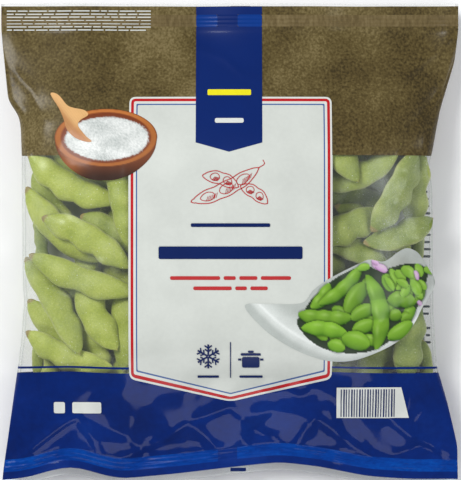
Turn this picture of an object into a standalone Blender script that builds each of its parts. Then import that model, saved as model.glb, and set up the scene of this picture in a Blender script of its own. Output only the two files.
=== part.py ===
"""Pillow bag of frozen edamame pods, lying on its back with its printed front up.

Metres, +Z up. X runs across the bag, +Y towards its top seal. The origin is under the middle
of the bag, on the surface that it lies on.

The film is one web, wrapped round the pods and joined to itself by a fin along the back and by
a heat seal at each end. The pods nearest the front are separate solids. The many pods behind
them are joined in one plain solid.
"""

import math

import bmesh
import bpy
import numpy as np

# Driving dimensions
BAG_WIDTH = 0.280  # the flat film tube, and so each seal
BAG_LENGTH = 0.296  # from the lower hem to the upper one
FILL_HEIGHT = 0.054  # thickest stretch of the filled bag
SEAL_Y = 0.131  # inner edge of both end seals, from the middle
TAPER = 0.084  # length of bag over which the filling thins out to a seal
SEAL_LIFT = 0.009  # height of the end seals over the surface
FOLD_SHARE = 0.42  # height of the side folds, as a share of the thickness
FILM = 0.0003  # wall of the film
LAYER_GAP = 0.00025  # left between layers that are welded in the real bag
FIN_WIDTH = 0.012
FIN_STEP = 0.001  # from the fin's edge to where the film over it starts to come down
CLEARANCE = 0.0007  # between a pod and whatever it lies against

# Shape of the filled tube
WIDTH_TAKEN_IN = 0.014  # that each side loses where the bag is full
EAR_SHARPNESS = 1.8  # how long the corners stay wide
FRONT_SQUARENESS = 2.5
FRONT_ROUNDNESS = 1.85
BACK_FLAT = 0.44  # share of the half width that lies flat
BACK_SQUARENESS = 2.6
BACK_ROUNDNESS = 2.0
THICKNESS_POWER = 1.4
LIFT_FROM = 0.070  # height on the bag where its underside starts to rise towards a seal

# Waves of the loose film: height, middle and reach of each one by the lower seal
LOWER_WAVES = ((0.0065, -0.095, 0.020), (0.0035, -0.040, 0.026), (0.0095, 0.030, 0.030))
LOWER_WAVE_FROM = 0.080
LOWER_WAVE_OVER = 0.050
LOWER_WAVE_SHARE = 0.6  # of the pull on the hem that shows as a rise of the film
HEM_PULL_FROM = 0.060
HEM_PULL_OVER = 0.070
UPPER_WAVE_HEIGHT = 0.0016
UPPER_WAVE_RATE = 52  # radians in a metre
UPPER_WAVE_FROM = 0.100
UPPER_WAVE_OVER = 0.030

# Columns of the film, as shares of the half width, and the number of its rows
SHARES = (0.20, 0.32, 0.44, 0.56, 0.67, 0.77, 0.86, 0.93, 0.975, 1)
MID_FRONT = 0.10
ROWS = 27
ROW_BUNCHING = 1.15  # how much closer together the rows are at the ends

# Each pod that can be seen: middle x and y, heading in degrees, length, and bow to its left.
# The ones in front come first. All lengths are in millimetres.
LEFT_PODS = (
    (-66, 27, -79, 60, 2),
    (-84, 2, -33, 58, 3),
    (-87, -20, -21, 66, -4),
    (-94, 38, -31, 60, -7),
    (-104, -37, -65, 66, 3),
    (-81, -43, -64, 50, -3),
    (-97, -67, -24, 56, -5),
    (-101, 10, -46, 64, -6),
    (-91, 49, -28, 58, -5),
    (-105, -54, -61, 48, 2),
    (-84, -60, -76, 48, 0),
    (-68, 7, -20, 52, -3),
    (-108, -30, 52, 46, 2),
    (-65, -51, -88, 54, 2),
    (-70, -78, 36, 54, -3),
    (-115, -10, -84, 48, -2),
    (-68, -28, -50, 52, 3),
    (-112, 26, -70, 50, -3),
)
RIGHT_PODS = (
    (62, 58, -50, 52, 2),
    (78, 46, 23, 60, -8),
    (101, 32, 61, 58, -3),
    (68, 10, 20, 54, -3),
    (106, 7, 20, 46, -3),
    (88, 10, -31, 56, 2),
    (75, 26, -12, 58, 3),
    (74, -4, -23, 54, 3),
    (90, -8, -46, 54, 2),
    (114, 34, 86, 52, 2),
    (66, -20, -68, 56, -3),
    (110, -60, 83, 50, 2),
    (98, -34, 34, 60, -4),
    (114, -28, -72, 52, 3),
    (78, -42, -16, 60, 4),
    (92, -66, 62, 50, 2),
    (66, -62, 40, 56, 3),
    (82, -82, -8, 52, -3),
)

# The pods of the same layer that the printed label hides, laid by a rule
HIDDEN_COLUMNS = (-0.036, -0.001, 0.035)
HIDDEN_ROWS = (-0.084, -0.052, -0.021, 0.010, 0.041, 0.072)
HIDDEN_TURN = 40  # most degrees away from lying straight along or across
HIDDEN_SHIFT = 3  # most millimetres away from the even places
HIDDEN_LENGTHS = (52, 62)
HIDDEN_BOW = 5
SEED = 7

POD_WIDTHS = (0.0130, 0.0152)
POD_DEPTHS = (0.60, 0.68)  # shares of the width
STEM_SHAPE = (3.4, 0.5)  # powers of the outline's two halves
TIP_SHAPE = (2.7, 0.75)
MOST_PITCH = 0.55
MOST_ROLL = 0.50

CELL = 0.001  # of the map that says how far down the space is taken
OUTSIDE = -1.0
FACET_DROP = 0.001  # of the film's flat facets under the smooth shape
NUDGE = 0.001
MOST_NUDGES = 30
POD_SIDES = 8
POD_RINGS = 10
CORE_LEAST = 0.002
CORE_HALF_WIDTH = 0.104
CORE_HALF_LENGTH = 0.094
CORE_SQUARENESS = 2.8
CORE_LIFT = 0.0045  # over the outer face of the back, clear of its fin and its flat facets
CORE_SIDES = 28
CORE_RINGS = 14
CORE_REACH = 0.017  # how far round a point the joined pods stay clear of the ones above


def smoothstep(share):
    share = np.clip(share, 0, 1)
    return share * share * (3 - 2 * share)


def hump(x, middle, reach):
    return np.exp(-(((x - middle) / reach) ** 2))


# The outside of the film


def thickness(y):
    """Thickness of the filled bag at its middle, nothing at the seals."""
    share = np.clip((SEAL_Y - np.abs(y)) / TAPER, 0, 1)
    return FILL_HEIGHT * np.sin(share * math.pi / 2) ** THICKNESS_POWER


def half_width(y):
    return BAG_WIDTH / 2 - WIDTH_TAKEN_IN * (thickness(y) / FILL_HEIGHT) ** EAR_SHARPNESS


def base_height(y):
    """Height of the underside of the back."""
    return SEAL_LIFT * smoothstep((np.abs(y) - LIFT_FROM) / (SEAL_Y - LIFT_FROM))


def fold_height(y):
    return base_height(y) + FILM + LAYER_GAP / 2 + FOLD_SHARE * thickness(y)


def dome(share, squareness, roundness):
    """1 at the middle of the bag, falling to 0 at its side folds."""
    inside = np.clip(1 - np.abs(share) ** squareness, 0, 1)
    return inside ** (1 / roundness)


def between_columns(wave, x, y):
    """A wave of the film, run straight from column to column, so that its layers stay parallel."""
    shares = np.array((*[-share for share in SHARES[::-1]], 0, *SHARES))
    share = x / half_width(y)
    return np.interp(share, shares, wave(shares * BAG_WIDTH / 2))


def lower_wave(x):
    return sum(height * hump(x, middle, reach) for height, middle, reach in LOWER_WAVES)


def upper_wave(x):
    return UPPER_WAVE_HEIGHT * (1 + np.sin(x * UPPER_WAVE_RATE))


def hem_rise(x, y):
    """How far the filling pulls the lower seal in towards the middle of the bag."""
    return between_columns(lower_wave, x, y) * smoothstep((-y - HEM_PULL_FROM) / HEM_PULL_OVER)


def end_wave(x, y):
    """Height of the waves in the loose film at both ends of the bag."""
    lower = between_columns(lower_wave, x, y) * smoothstep((-y - LOWER_WAVE_FROM) / LOWER_WAVE_OVER)
    upper = between_columns(upper_wave, x, y) * smoothstep((y - UPPER_WAVE_FROM) / UPPER_WAVE_OVER)
    return LOWER_WAVE_SHARE * lower + upper


def front_height(x, y):
    """Outer face of the front film."""
    rise = (1 - FOLD_SHARE) * thickness(y) * dome(x / half_width(y), FRONT_SQUARENESS, FRONT_ROUNDNESS)
    return fold_height(y) + FILM + LAYER_GAP / 2 + rise + end_wave(x, y)


def back_height(x, y):
    """Outer face of the back film, away from its fin."""
    beyond_flat = np.clip((np.abs(x) / half_width(y) - BACK_FLAT) / (1 - BACK_FLAT), 0, 1)
    drop = FOLD_SHARE * thickness(y) * dome(beyond_flat, BACK_SQUARENESS, BACK_ROUNDNESS)
    return fold_height(y) - FILM - LAYER_GAP / 2 - drop + end_wave(x, y)


# The web of film


def section(y):
    """Outer face of the web at one row, from the free edge of the fin's lower layer right round
    the bag to the free edge of the upper one, as x and height."""
    half = half_width(y)
    over_fin = 2 * (FILM + LAYER_GAP)
    turn = half + FILM + LAYER_GAP / 2

    def back(x, lift=0.0):
        return x, back_height(x, y) + lift

    def front(x):
        clear_of_fin = over_fin * (abs(x) <= SHARES[0] * half) * (1 - thickness(y) / FILL_HEIGHT)
        return x, front_height(x, y) + clear_of_fin

    across_fin = (0.0, FIN_WIDTH / 2, FIN_WIDTH)
    web = [back(x) for x in across_fin[::-1]]
    web += [back(-share * half) for share in SHARES]
    web += [(-turn, fold_height(y) + end_wave(-half, y))]
    web += [front(-share * half) for share in SHARES[::-1]]
    web += [front(-MID_FRONT * half), front(0.0), front(MID_FRONT * half)]
    web += [front(share * half) for share in SHARES]
    web += [(turn, fold_height(y) + end_wave(half, y))]
    web += [back(share * half) for share in SHARES[::-1]]
    web += [back(x, over_fin) for x in (FIN_WIDTH + FIN_STEP, *across_fin[::-1])]
    web += [back(x, over_fin - LAYER_GAP) for x in across_fin]
    return web


def row_places():
    """Y of each row, closer together where the bag bends more."""
    even = np.linspace(-1, 1, ROWS)
    return BAG_LENGTH / 2 * np.sin(even * ROW_BUNCHING) / math.sin(ROW_BUNCHING)


def make_film(collection, material):
    """One web: a grid bent round the pods, with its wall on the inside."""
    places = row_places()
    rows = [section(y) for y in places]
    columns = len(rows[0])
    mesh = bpy.data.meshes.new("bag_film")
    web = bmesh.new()
    bmesh.ops.create_grid(web, x_segments=columns - 1, y_segments=ROWS - 1, size=1)
    for vertex in web.verts:
        column = round((vertex.co.x + 1) / 2 * (columns - 1))
        row = round((vertex.co.y + 1) / 2 * (ROWS - 1))
        y = places[row]
        x, z = rows[row][column]
        vertex.co = (x, y + hem_rise(x, y), z)
    web.to_mesh(mesh)
    web.free()
    film = bpy.data.objects.new("bag_film", mesh)
    collection.objects.link(film)
    wall = film.modifiers.new("wall", "SOLIDIFY")
    wall.thickness = FILM
    wall.offset = -1
    wall.use_even_offset = True
    mesh.materials.append(material)
    mesh.shade_smooth()
    return film


# Pods


class Pod:
    """A pod in plan: a bowed spine with a flattened, tapering body round it."""

    def __init__(self, x, y, heading, length, bow, width, depth):
        self.middle = np.array((x, y))
        turn = math.radians(heading)
        self.along = np.array((math.cos(turn), math.sin(turn)))
        self.left = np.array((-math.sin(turn), math.cos(turn)))
        self.length = length
        self.bow = bow
        self.width = width
        self.depth = depth
        self.height = 0.0
        self.pitch = 0.0
        self.roll = 0.0

    def fullness(self, share):
        """Share of the full width, from the blunt stem end at -1 to the drawn-out tip at 1."""
        blunt = np.clip(1 - np.abs(np.minimum(share, 0)) ** STEM_SHAPE[0], 0, 1) ** STEM_SHAPE[1]
        pointed = np.clip(1 - np.maximum(share, 0) ** TIP_SHAPE[0], 0, 1) ** TIP_SHAPE[1]
        return np.where(share < 0, blunt, pointed)

    def place(self, share, side):
        """Distance along and left of the middle, for a share along the spine and one across it."""
        along = share * self.length / 2
        across = self.bow * (0.5 - share**2)
        slope = -4 * self.bow * share / self.length
        lean = np.sqrt(1 + slope**2)
        reach = side * self.fullness(share) * self.width / 2
        return along - reach * slope / lean, across + reach / lean

    def half_depth(self, share, side):
        return self.fullness(share) * self.depth / 2 * np.sqrt(np.clip(1 - side**2, 0, 1))

    def in_plan(self, along, across):
        return self.middle + np.multiply.outer(along, self.along) + np.multiply.outer(across, self.left)

    def spine_height(self, along, across):
        return self.height + self.pitch * along + self.roll * across


class Heap:
    """The space under the front film: how far down it is taken, on a square grid."""

    def __init__(self):
        self.across = np.arange(-BAG_WIDTH / 2, BAG_WIDTH / 2 + CELL, CELL)
        self.up = np.arange(-BAG_LENGTH / 2, BAG_LENGTH / 2 + CELL, CELL)
        x, y = np.meshgrid(self.across, self.up)
        inside = np.abs(x) < half_width(y) - 2 * FILM
        self.ceiling = np.where(inside, front_height(x, y) - end_wave(x, y) - FILM - FACET_DROP, OUTSIDE)
        self.floor = back_height(x, y) + CORE_LIFT + CORE_LEAST

    def cells(self, points):
        column = np.rint((points[..., 0] - self.across[0]) / CELL).astype(int)
        row = np.rint((points[..., 1] - self.up[0]) / CELL).astype(int)
        return np.clip(row, 0, len(self.up) - 1), np.clip(column, 0, len(self.across) - 1)

    def lay(self, pod):
        """Lays the pod as near the film as the pods before it let it, tipped to suit them, and
        moves it towards the middle of the bag until it has room."""
        share, side = np.meshgrid(np.linspace(-1, 1, 41), np.linspace(-1, 1, 11))
        along, across = pod.place(share, side)
        half_depth = pod.half_depth(share, side)
        pitches = np.linspace(-MOST_PITCH, MOST_PITCH, 23)
        tips = [(pitch, roll) for pitch in pitches for roll in np.linspace(-MOST_ROLL, MOST_ROLL, 11)]
        for _ in range(MOST_NUDGES):
            cells = self.cells(pod.in_plan(along, across))
            room = self.ceiling[cells] - half_depth - CLEARANCE
            heights = [(room - pitch * along - roll * across).min() for pitch, roll in tips]
            best = int(np.argmax(heights))
            pod.height = heights[best]
            pod.pitch, pod.roll = tips[best]
            under = pod.spine_height(along, across) - half_depth
            if (under - self.floor[cells]).min() > CLEARANCE:
                break
            pod.middle -= NUDGE * pod.middle / np.linalg.norm(pod.middle)
        self.take(pod)

    def take(self, pod):
        """Marks the space that the pod fills."""
        share, side = np.meshgrid(np.linspace(-1, 1, 161), np.linspace(-1, 1, 41))
        along, across = pod.place(share, side)
        under = pod.spine_height(along, across) - pod.half_depth(share, side)
        np.minimum.at(self.ceiling, self.cells(pod.in_plan(along, across)), under)


def pod_plan():
    """Every separate pod, front ones first."""
    chance = np.random.default_rng(SEED)
    visible = [row for pair in zip(LEFT_PODS, RIGHT_PODS) for row in pair]
    hidden = []
    for row, y in enumerate(HIDDEN_ROWS):
        for column, x in enumerate(HIDDEN_COLUMNS):
            heading = chance.uniform(-HIDDEN_TURN, HIDDEN_TURN) + 90 * ((row + column) % 2)
            shift = chance.uniform(-HIDDEN_SHIFT, HIDDEN_SHIFT, 2)
            length = chance.uniform(*HIDDEN_LENGTHS)
            bow = chance.uniform(-HIDDEN_BOW, HIDDEN_BOW)
            hidden.append((1000 * x + shift[0], 1000 * y + shift[1], heading, length, bow))
    pods = []
    for x, y, heading, length, bow in visible + hidden:
        width = chance.uniform(*POD_WIDTHS)
        depth = width * chance.uniform(*POD_DEPTHS)
        pods.append(Pod(x / 1000, y / 1000, heading, length / 1000, bow / 1000, width, depth))
    return pods


def make_pod(name, pod, collection, material):
    """A sphere's rings moved along the pod's spine, so that the solid is closed at both ends."""
    mesh = bpy.data.meshes.new(name)
    body = bmesh.new()
    bmesh.ops.create_uvsphere(body, u_segments=POD_SIDES, v_segments=POD_RINGS, radius=1)
    for vertex in body.verts:
        share = math.asin(max(-1.0, min(1.0, vertex.co.z))) / (math.pi / 2)
        ring = max(math.hypot(vertex.co.x, vertex.co.y), 1e-9)
        side = vertex.co.x / ring
        along, across = pod.place(share, side)
        level = pod.spine_height(along, across)
        x, y = pod.in_plan(along, across)
        up = vertex.co.y / ring * float(pod.fullness(share)) * pod.depth / 2
        vertex.co = (x, y, level + up)
    body.to_mesh(mesh)
    body.free()
    made = bpy.data.objects.new(name, mesh)
    collection.objects.link(made)
    mesh.materials.append(material)
    mesh.shade_smooth()
    return made


def make_core(heap, collection, material):
    """The rest of the pods, as one solid between the front layer and the back film."""

    def lowest_near(x, y):
        row, column = heap.cells(np.array((x, y)))
        reach = round(CORE_REACH / CELL)
        near = heap.ceiling[max(row - reach, 0) : row + reach, max(column - reach, 0) : column + reach]
        return near.min() - 2 * CLEARANCE

    mesh = bpy.data.meshes.new("inner_pods")
    body = bmesh.new()
    bmesh.ops.create_uvsphere(body, u_segments=CORE_SIDES, v_segments=CORE_RINGS, radius=1)
    for vertex in body.verts:
        turn = math.atan2(vertex.co.y, vertex.co.x)
        across = abs(math.cos(turn) / CORE_HALF_WIDTH) ** CORE_SQUARENESS
        along = abs(math.sin(turn) / CORE_HALF_LENGTH) ** CORE_SQUARENESS
        reach = (across + along) ** (-1 / CORE_SQUARENESS) * math.hypot(vertex.co.x, vertex.co.y)
        x, y = reach * math.cos(turn), reach * math.sin(turn)
        floor = float(back_height(x, y)) + CORE_LIFT
        roof = max(lowest_near(x, y), floor + CORE_LEAST / 2)
        level = (floor + roof) / 2
        if vertex.co.z > 0.01:
            level = roof
        if vertex.co.z < -0.01:
            level = floor
        vertex.co = (x, y, level)
    body.to_mesh(mesh)
    body.free()
    made = bpy.data.objects.new("inner_pods", mesh)
    collection.objects.link(made)
    mesh.materials.append(material)
    mesh.shade_smooth()
    return made


def make_material(name, colour, roughness):
    material = bpy.data.materials.new(name)
    material.use_nodes = True
    shader = material.node_tree.nodes["Principled BSDF"]
    shader.inputs["Base Color"].default_value = (*colour, 1)
    shader.inputs["Roughness"].default_value = roughness
    shader.inputs["Metallic"].default_value = 0
    return material


def main():
    for old in list(bpy.data.objects):
        bpy.data.objects.remove(old)
    bag = bpy.data.collections.new("edamame_bag")
    bpy.context.scene.collection.children.link(bag)
    film_look = make_material("film", (0.28, 0.27, 0.20), 0.25)
    pod_look = make_material("pod_skin", (0.42, 0.52, 0.12), 0.55)
    make_film(bag, film_look)
    heap = Heap()
    for number, pod in enumerate(pod_plan(), start=1):
        heap.lay(pod)
        make_pod(f"pod_{number:02d}", pod, bag, pod_look)
    make_core(heap, bag, pod_look)


main()
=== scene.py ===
import math

import bmesh
import bpy
import numpy as np
from mathutils import Matrix, Vector
from mathutils.bvhtree import BVHTree
from mathutils.geometry import delaunay_2d_cdt


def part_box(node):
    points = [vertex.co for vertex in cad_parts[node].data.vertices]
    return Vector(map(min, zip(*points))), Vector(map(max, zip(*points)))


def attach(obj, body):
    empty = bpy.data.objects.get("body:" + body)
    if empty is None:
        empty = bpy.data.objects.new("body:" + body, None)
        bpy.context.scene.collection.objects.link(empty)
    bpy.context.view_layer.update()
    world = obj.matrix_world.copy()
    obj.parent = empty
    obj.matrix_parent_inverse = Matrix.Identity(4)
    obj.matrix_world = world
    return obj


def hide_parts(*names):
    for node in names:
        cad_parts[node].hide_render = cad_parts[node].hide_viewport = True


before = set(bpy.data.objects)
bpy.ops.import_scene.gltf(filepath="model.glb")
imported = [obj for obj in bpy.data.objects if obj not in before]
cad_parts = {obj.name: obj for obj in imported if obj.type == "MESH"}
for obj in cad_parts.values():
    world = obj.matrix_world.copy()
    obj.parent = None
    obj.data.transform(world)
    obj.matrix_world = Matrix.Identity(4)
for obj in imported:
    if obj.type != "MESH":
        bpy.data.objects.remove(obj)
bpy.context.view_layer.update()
filmLow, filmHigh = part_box("bag_film")
mm = 0.001


# Colours are picked as screen values from 0 to 255

def tint(red, green, blue):
    screen = np.array((red, green, blue)) / 255
    linear = np.where(screen <= 0.04045, screen / 12.92, ((screen + 0.055) / 1.055) ** 2.4)
    return (*[float(part) for part in linear], 1)


def smoothstep(share):
    share = np.clip(share, 0, 1)
    return share * share * (3 - 2 * share)


def hump(x, middle, reach):
    return np.exp(-(((x - middle) / reach) ** 2))


def blurred(grid, reach):
    kernel = np.exp(-0.5 * (np.arange(-3 * reach, 3 * reach + 1) / reach) ** 2)
    kernel /= kernel.sum()
    for axis in (0, 1):
        padding = [(0, 0), (0, 0)]
        padding[axis] = (3 * reach, 3 * reach)
        padded = np.pad(grid, padding, mode="edge")
        grid = np.apply_along_axis(lambda line: np.convolve(line, kernel, mode="valid"), axis, padded)
    return grid


# Heights of the bands on the print, in millimetres from its middle: the clear hems, the two end seals, the
# brown above, the navy below and the thin navy line over it

hems = (-143.3, 144.2)
upperSeal = (131.8, 139.0)
lowerSeal = (-138.8, -131.2)
brownFrom = 52
navyTo = -80.3
navyLine = (-77.9, -76.6)


# Small helpers for material trees

def newMaterial(name, **values):
    material = bpy.data.materials.new(name)
    material.use_nodes = True
    shader = material.node_tree.nodes["Principled BSDF"]
    for socket, value in values.items():
        shader.inputs[socket.replace("_", " ")].default_value = value
    return material


def addNode(tree, kind, **values):
    # lower-case names are the node's own settings, the others its inputs
    node = tree.nodes.new(kind)
    for key, value in values.items():
        if key[0].islower():
            setattr(node, key, value)
        else:
            node.inputs[key.replace("_", " ")].default_value = value
    return node


def ramp(tree, stops):
    node = tree.nodes.new("ShaderNodeValToRGB")
    elements = node.color_ramp.elements
    while len(elements) < len(stops):
        elements.new(0.5)
    for element, (place, colour) in zip(elements, stops):
        element.position = place
        element.color = colour
    return node


def mixColour(tree, share, first, second, blend="MIX"):
    node = tree.nodes.new("ShaderNodeMix")
    node.data_type = "RGBA"
    node.blend_type = blend
    for socket, value in ((node.inputs[0], share), (node.inputs[6], first), (node.inputs[7], second)):
        if isinstance(value, bpy.types.NodeSocket):
            tree.links.new(value, socket)
        else:
            socket.default_value = value
    return node.outputs[2]


# Two sizes of soft noise, stretched along Y when asked, as one mask and one normal

mottleInputs = {"Coarse scale": 60.0, "Fine scale": 900.0, "Fine share": 0.4, "Stretch": 1.0, "Bump": 0.0002}


def buildMottle():
    group = bpy.data.node_groups.new("mottle", "ShaderNodeTree")
    face = group.interface
    for name, value in mottleInputs.items():
        socket = face.new_socket(name, in_out="INPUT", socket_type="NodeSocketFloat")
        socket.default_value = value
    face.new_socket("Mask", in_out="OUTPUT", socket_type="NodeSocketFloat")
    face.new_socket("Normal", in_out="OUTPUT", socket_type="NodeSocketVector")
    given = group.nodes.new("NodeGroupInput")
    out = group.nodes.new("NodeGroupOutput")
    place = group.nodes.new("ShaderNodeTexCoord")
    squeeze = group.nodes.new("ShaderNodeCombineXYZ")
    squeeze.inputs[0].default_value = 1
    squeeze.inputs[2].default_value = 1
    group.links.new(given.outputs["Stretch"], squeeze.inputs[1])
    scaled = addNode(group, "ShaderNodeVectorMath", operation="MULTIPLY")
    group.links.new(place.outputs["Object"], scaled.inputs[0])
    group.links.new(squeeze.outputs[0], scaled.inputs[1])
    noises = []
    for scaleName in ("Coarse scale", "Fine scale"):
        noise = group.nodes.new("ShaderNodeTexNoise")
        noise.inputs["Detail"].default_value = 4
        group.links.new(scaled.outputs[0], noise.inputs["Vector"])
        group.links.new(given.outputs[scaleName], noise.inputs["Scale"])
        noises.append(noise.outputs[0])
    blend = group.nodes.new("ShaderNodeMix")
    group.links.new(given.outputs["Fine share"], blend.inputs[0])
    group.links.new(noises[0], blend.inputs[2])
    group.links.new(noises[1], blend.inputs[3])
    bump = group.nodes.new("ShaderNodeBump")
    group.links.new(given.outputs["Bump"], bump.inputs["Distance"])
    group.links.new(blend.outputs[0], bump.inputs["Height"])
    group.links.new(blend.outputs[0], out.inputs["Mask"])
    group.links.new(bump.outputs[0], out.inputs["Normal"])
    return group


mottle = buildMottle()


def useMottle(tree, **values):
    node = tree.nodes.new("ShaderNodeGroup")
    node.node_tree = mottle
    for name, value in values.items():
        node.inputs[name.replace("_", " ")].default_value = value
    return node


def addMottle(material, stops, **values):
    tree = material.node_tree
    shader = tree.nodes["Principled BSDF"]
    node = useMottle(tree, **values)
    colours = ramp(tree, stops)
    tree.links.new(node.outputs["Mask"], colours.inputs[0])
    tree.links.new(colours.outputs[0], shader.inputs["Base Color"])
    tree.links.new(node.outputs["Normal"], shader.inputs["Normal"])


def mapRange(tree, source, **values):
    # the range of a value, turned into another, held to its ends
    node = addNode(tree, "ShaderNodeMapRange", **values)
    tree.links.new(source, node.inputs[0])
    return node.outputs[0]


# The filled bag's outline and its two faces, before the film settles on the pods

bag = {
    "sealY": 0.131,
    "taper": 0.084,
    "sealLift": 0.009,
    "foldShare": 0.42,
    "layerGap": 0.0005,
    "frontSquareness": 2.5,
    "frontRoundness": 1.85,
    "backFlat": 0.44,
    "backSquareness": 2.6,
    "backRoundness": 2.0,
    "artUp": 0.002,  # from the middle of the print to the middle of the bag
    "labelHalf": 0.0619,  # the print keeps its width to here, and gives way beyond
    "sideEasing": 1.8,
    "backLeast": 0.0003,
    "finWidth": 0.012,
    "finRoom": 0.0006,
    "sealGap": (-0.0080, 0.0044),  # where neither end seal is pressed, over the fin
    # Height on the bag and reach of each side, in millimetres
    "leftSide": [(-150, 141), (-135, 139.5), (-76.6, 130.3), (-60, 128), (-43, 127), (-38, 126), (-30, 127.2),
                 (52, 127.8), (70, 128.6), (76.6, 129.8), (86, 136.4), (129, 141), (150, 141)],
    "rightSide": [(-150, 140), (-122.6, 139.5), (-98, 133.3), (-76.6, 126.4), (-45, 124.3), (-30.7, 124.1),
                  (33.7, 123.5), (46, 121), (50, 122.6), (79.7, 128.4), (110, 137.6), (129, 140), (150, 140)],
    # Place across the bag and height of the lower hem's wave, in millimetres
    "lowerWave": [(-142, -4), (-125, -2.5), (-112, 2), (-97, 5.3), (-85, 1.5), (-69, -3.2), (-33, 0.3),
                  (-1, 4.3), (30, 7.8), (55, 4.8), (84, -1.4), (111, -3.2), (142, -3.2)],
}


def fromList(points, places, reach):
    # a smooth curve through given points
    given = np.array(points) * mm
    fine = np.arange(given[0, 0], given[-1, 0], 0.0005)
    values = np.interp(fine, given[:, 0], given[:, 1])
    kernel = np.exp(-0.5 * (np.arange(-40, 41) * 0.0005 / reach) ** 2)
    padded = np.pad(values, 40, mode="edge")
    return np.interp(places, fine, np.convolve(padded, kernel / kernel.sum(), mode="valid"))


def thickness(y):
    share = np.clip((bag["sealY"] - np.abs(y)) / bag["taper"], 0, 1)
    return fillHeight * np.sin(share * math.pi / 2) ** 1.4


fillHeight = filmHigh[2] - filmLow[2] - 2 * bag["layerGap"]


def leftReach(y):
    return fromList(bag["leftSide"], y - bag["artUp"], 0.0025)


def rightReach(y):
    return fromList(bag["rightSide"], y - bag["artUp"], 0.0025)


def lowerWave(x):
    return fromList(bag["lowerWave"], x, 0.006)


def waveShare(v):
    return smoothstep((-v - 0.060) / 0.070)


def upperWave(x):
    return 0.0016 * (1 + np.sin(x * 52)) + 0.0008 * np.sin(x * 131 + 1)


def baseHeight(y):
    return bag["sealLift"] * smoothstep((np.abs(y) - 0.070) / (bag["sealY"] - 0.070))


def dome(share, squareness, roundness):
    return np.clip(1 - np.abs(share) ** squareness, 0, 1) ** (1 / roundness)


def sideShare(x, y):
    return np.where(x < 0, -x / leftReach(y), x / rightReach(y))


def foldHeight(y):
    return baseHeight(y) + bag["layerGap"] / 2 + bag["foldShare"] * thickness(y)


def looseRise(x, v):
    lower = 0.8 * (lowerWave(x) + 0.004) * smoothstep((-v - 0.085) / 0.045)
    upper = upperWave(x) * smoothstep((v - 0.100) / 0.030)
    return lower + upper


def frontHeight(x, v):
    crown = dome(sideShare(x, v), bag["frontSquareness"], bag["frontRoundness"])
    rise = (1 - bag["foldShare"]) * thickness(v) * crown
    return foldHeight(v) + bag["layerGap"] / 2 + rise + looseRise(x, v)


def backHeight(x, v):
    beyond = np.clip((sideShare(x, v) - bag["backFlat"]) / (1 - bag["backFlat"]), 0, 1)
    drop = bag["foldShare"] * thickness(v) * dome(beyond, bag["backSquareness"], bag["backRoundness"])
    return foldHeight(v) - bag["layerGap"] / 2 - drop + looseRise(x, v)


# Pods

podLook = {
    "rings": 30,
    "sides": 22,
    "innerRings": 14,
    "innerSides": 12,
    "seamHeight": 0.05,
    "beanSwell": 0.42,
    "waist": 0.25,
    "stemShare": 0.17,
    "beakShare": 0.07,
    "plump": 1.24,
    "innerBow": 0.14,
    "edgeFrom": -0.106,
    "edgeShift": 0.006,
    "edgeMost": 0.1252,
}


class PodPose:
    def __init__(self, start, end, bow, side, up, width, depth, tone, beans):
        self.start, self.end, self.bow = start, end, bow
        self.side, self.up = side, up
        self.width, self.depth = width, depth
        self.tone, self.beans = tone, beans


def podFullness(share):
    blunt = np.clip(1 - np.abs(np.minimum(share, 0) / 0.93) ** 3.2, 0, 1) ** 0.5
    pointed = np.clip(1 - (np.maximum(share, 0) / 0.96) ** 3.0, 0, 1) ** 0.62
    body = np.where(share < 0, blunt, pointed)
    stem = podLook["stemShare"] * np.clip((share + 1) / 0.01, 0, 1) * (share < -0.8)
    stem = stem * (1 + 0.8 * hump(share, -0.93, 0.02))
    beak = podLook["beakShare"] * np.clip((1 - share) / 0.02, 0, 1) * (share > 0.8)
    return np.maximum(body, np.maximum(stem, beak))


def beanBumps(share, beans):
    places = {1: (0.0,), 2: (-0.36, 0.34), 3: (-0.55, -0.02, 0.48)}[beans]
    return np.max([hump(share, place, 0.27 if beans < 3 else 0.2) for place in places], axis=0)


def podSurface(pose, rings, sides):
    # points ring by ring from the stem to the beak, with masks for tone and painted shade, stem and seam
    even = np.linspace(-1, 1, rings)
    shares = np.sign(even) * (1 - (1 - np.abs(even)) ** 1.35)
    turns = np.arange(sides) * 2 * math.pi / sides
    share, turn = np.meshgrid(shares, turns, indexing="ij")
    bumps = beanBumps(share, pose.beans)
    full = podFullness(share)
    middleOnly = np.clip(1 - np.abs(share) ** 4, 0, 1)
    deep = full * (1 + podLook["beanSwell"] * (bumps - 0.55) * middleOnly)
    outerEdge = 0.5 - 0.5 * np.cos(turn)
    wide = full * (1 + podLook["waist"] * (bumps - 0.8) * middleOnly * (0.4 + outerEdge))
    seam = np.exp(-((np.sin(turn) / 0.22) ** 2))
    across = pose.width / 2 * wide * np.cos(turn) * (1 + podLook["seamHeight"] * seam * middleOnly)
    height = pose.depth / 2 * deep * np.sign(np.sin(turn)) * np.abs(np.sin(turn)) ** 0.88
    spine = pose.start + np.multiply.outer((share + 1) / 2, pose.end - pose.start)
    spine = spine + np.multiply.outer(1 - share**2, pose.bow)
    points = spine + np.multiply.outer(across, pose.side) + np.multiply.outer(height, pose.up)
    stem = np.clip((-0.90 - share) / 0.03, 0, 1) + np.clip((share - 0.95) / 0.03, 0, 1) * 0.7
    masks = np.stack((np.full_like(share, pose.tone), stem, seam * middleOnly, bumps), axis=-1)
    return points.reshape(-1, 3), masks.reshape(-1, 4)


def podFaces(rings, sides):
    faces = []
    for ring in range(rings - 1):
        for side in range(sides):
            after = (side + 1) % sides
            low, high = ring * sides, (ring + 1) * sides
            faces.append((low + side, low + after, high + after, high + side))
    faces.append(tuple(reversed(range(sides))))
    faces.append(tuple(range((rings - 1) * sides, rings * sides)))
    return faces


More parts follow.
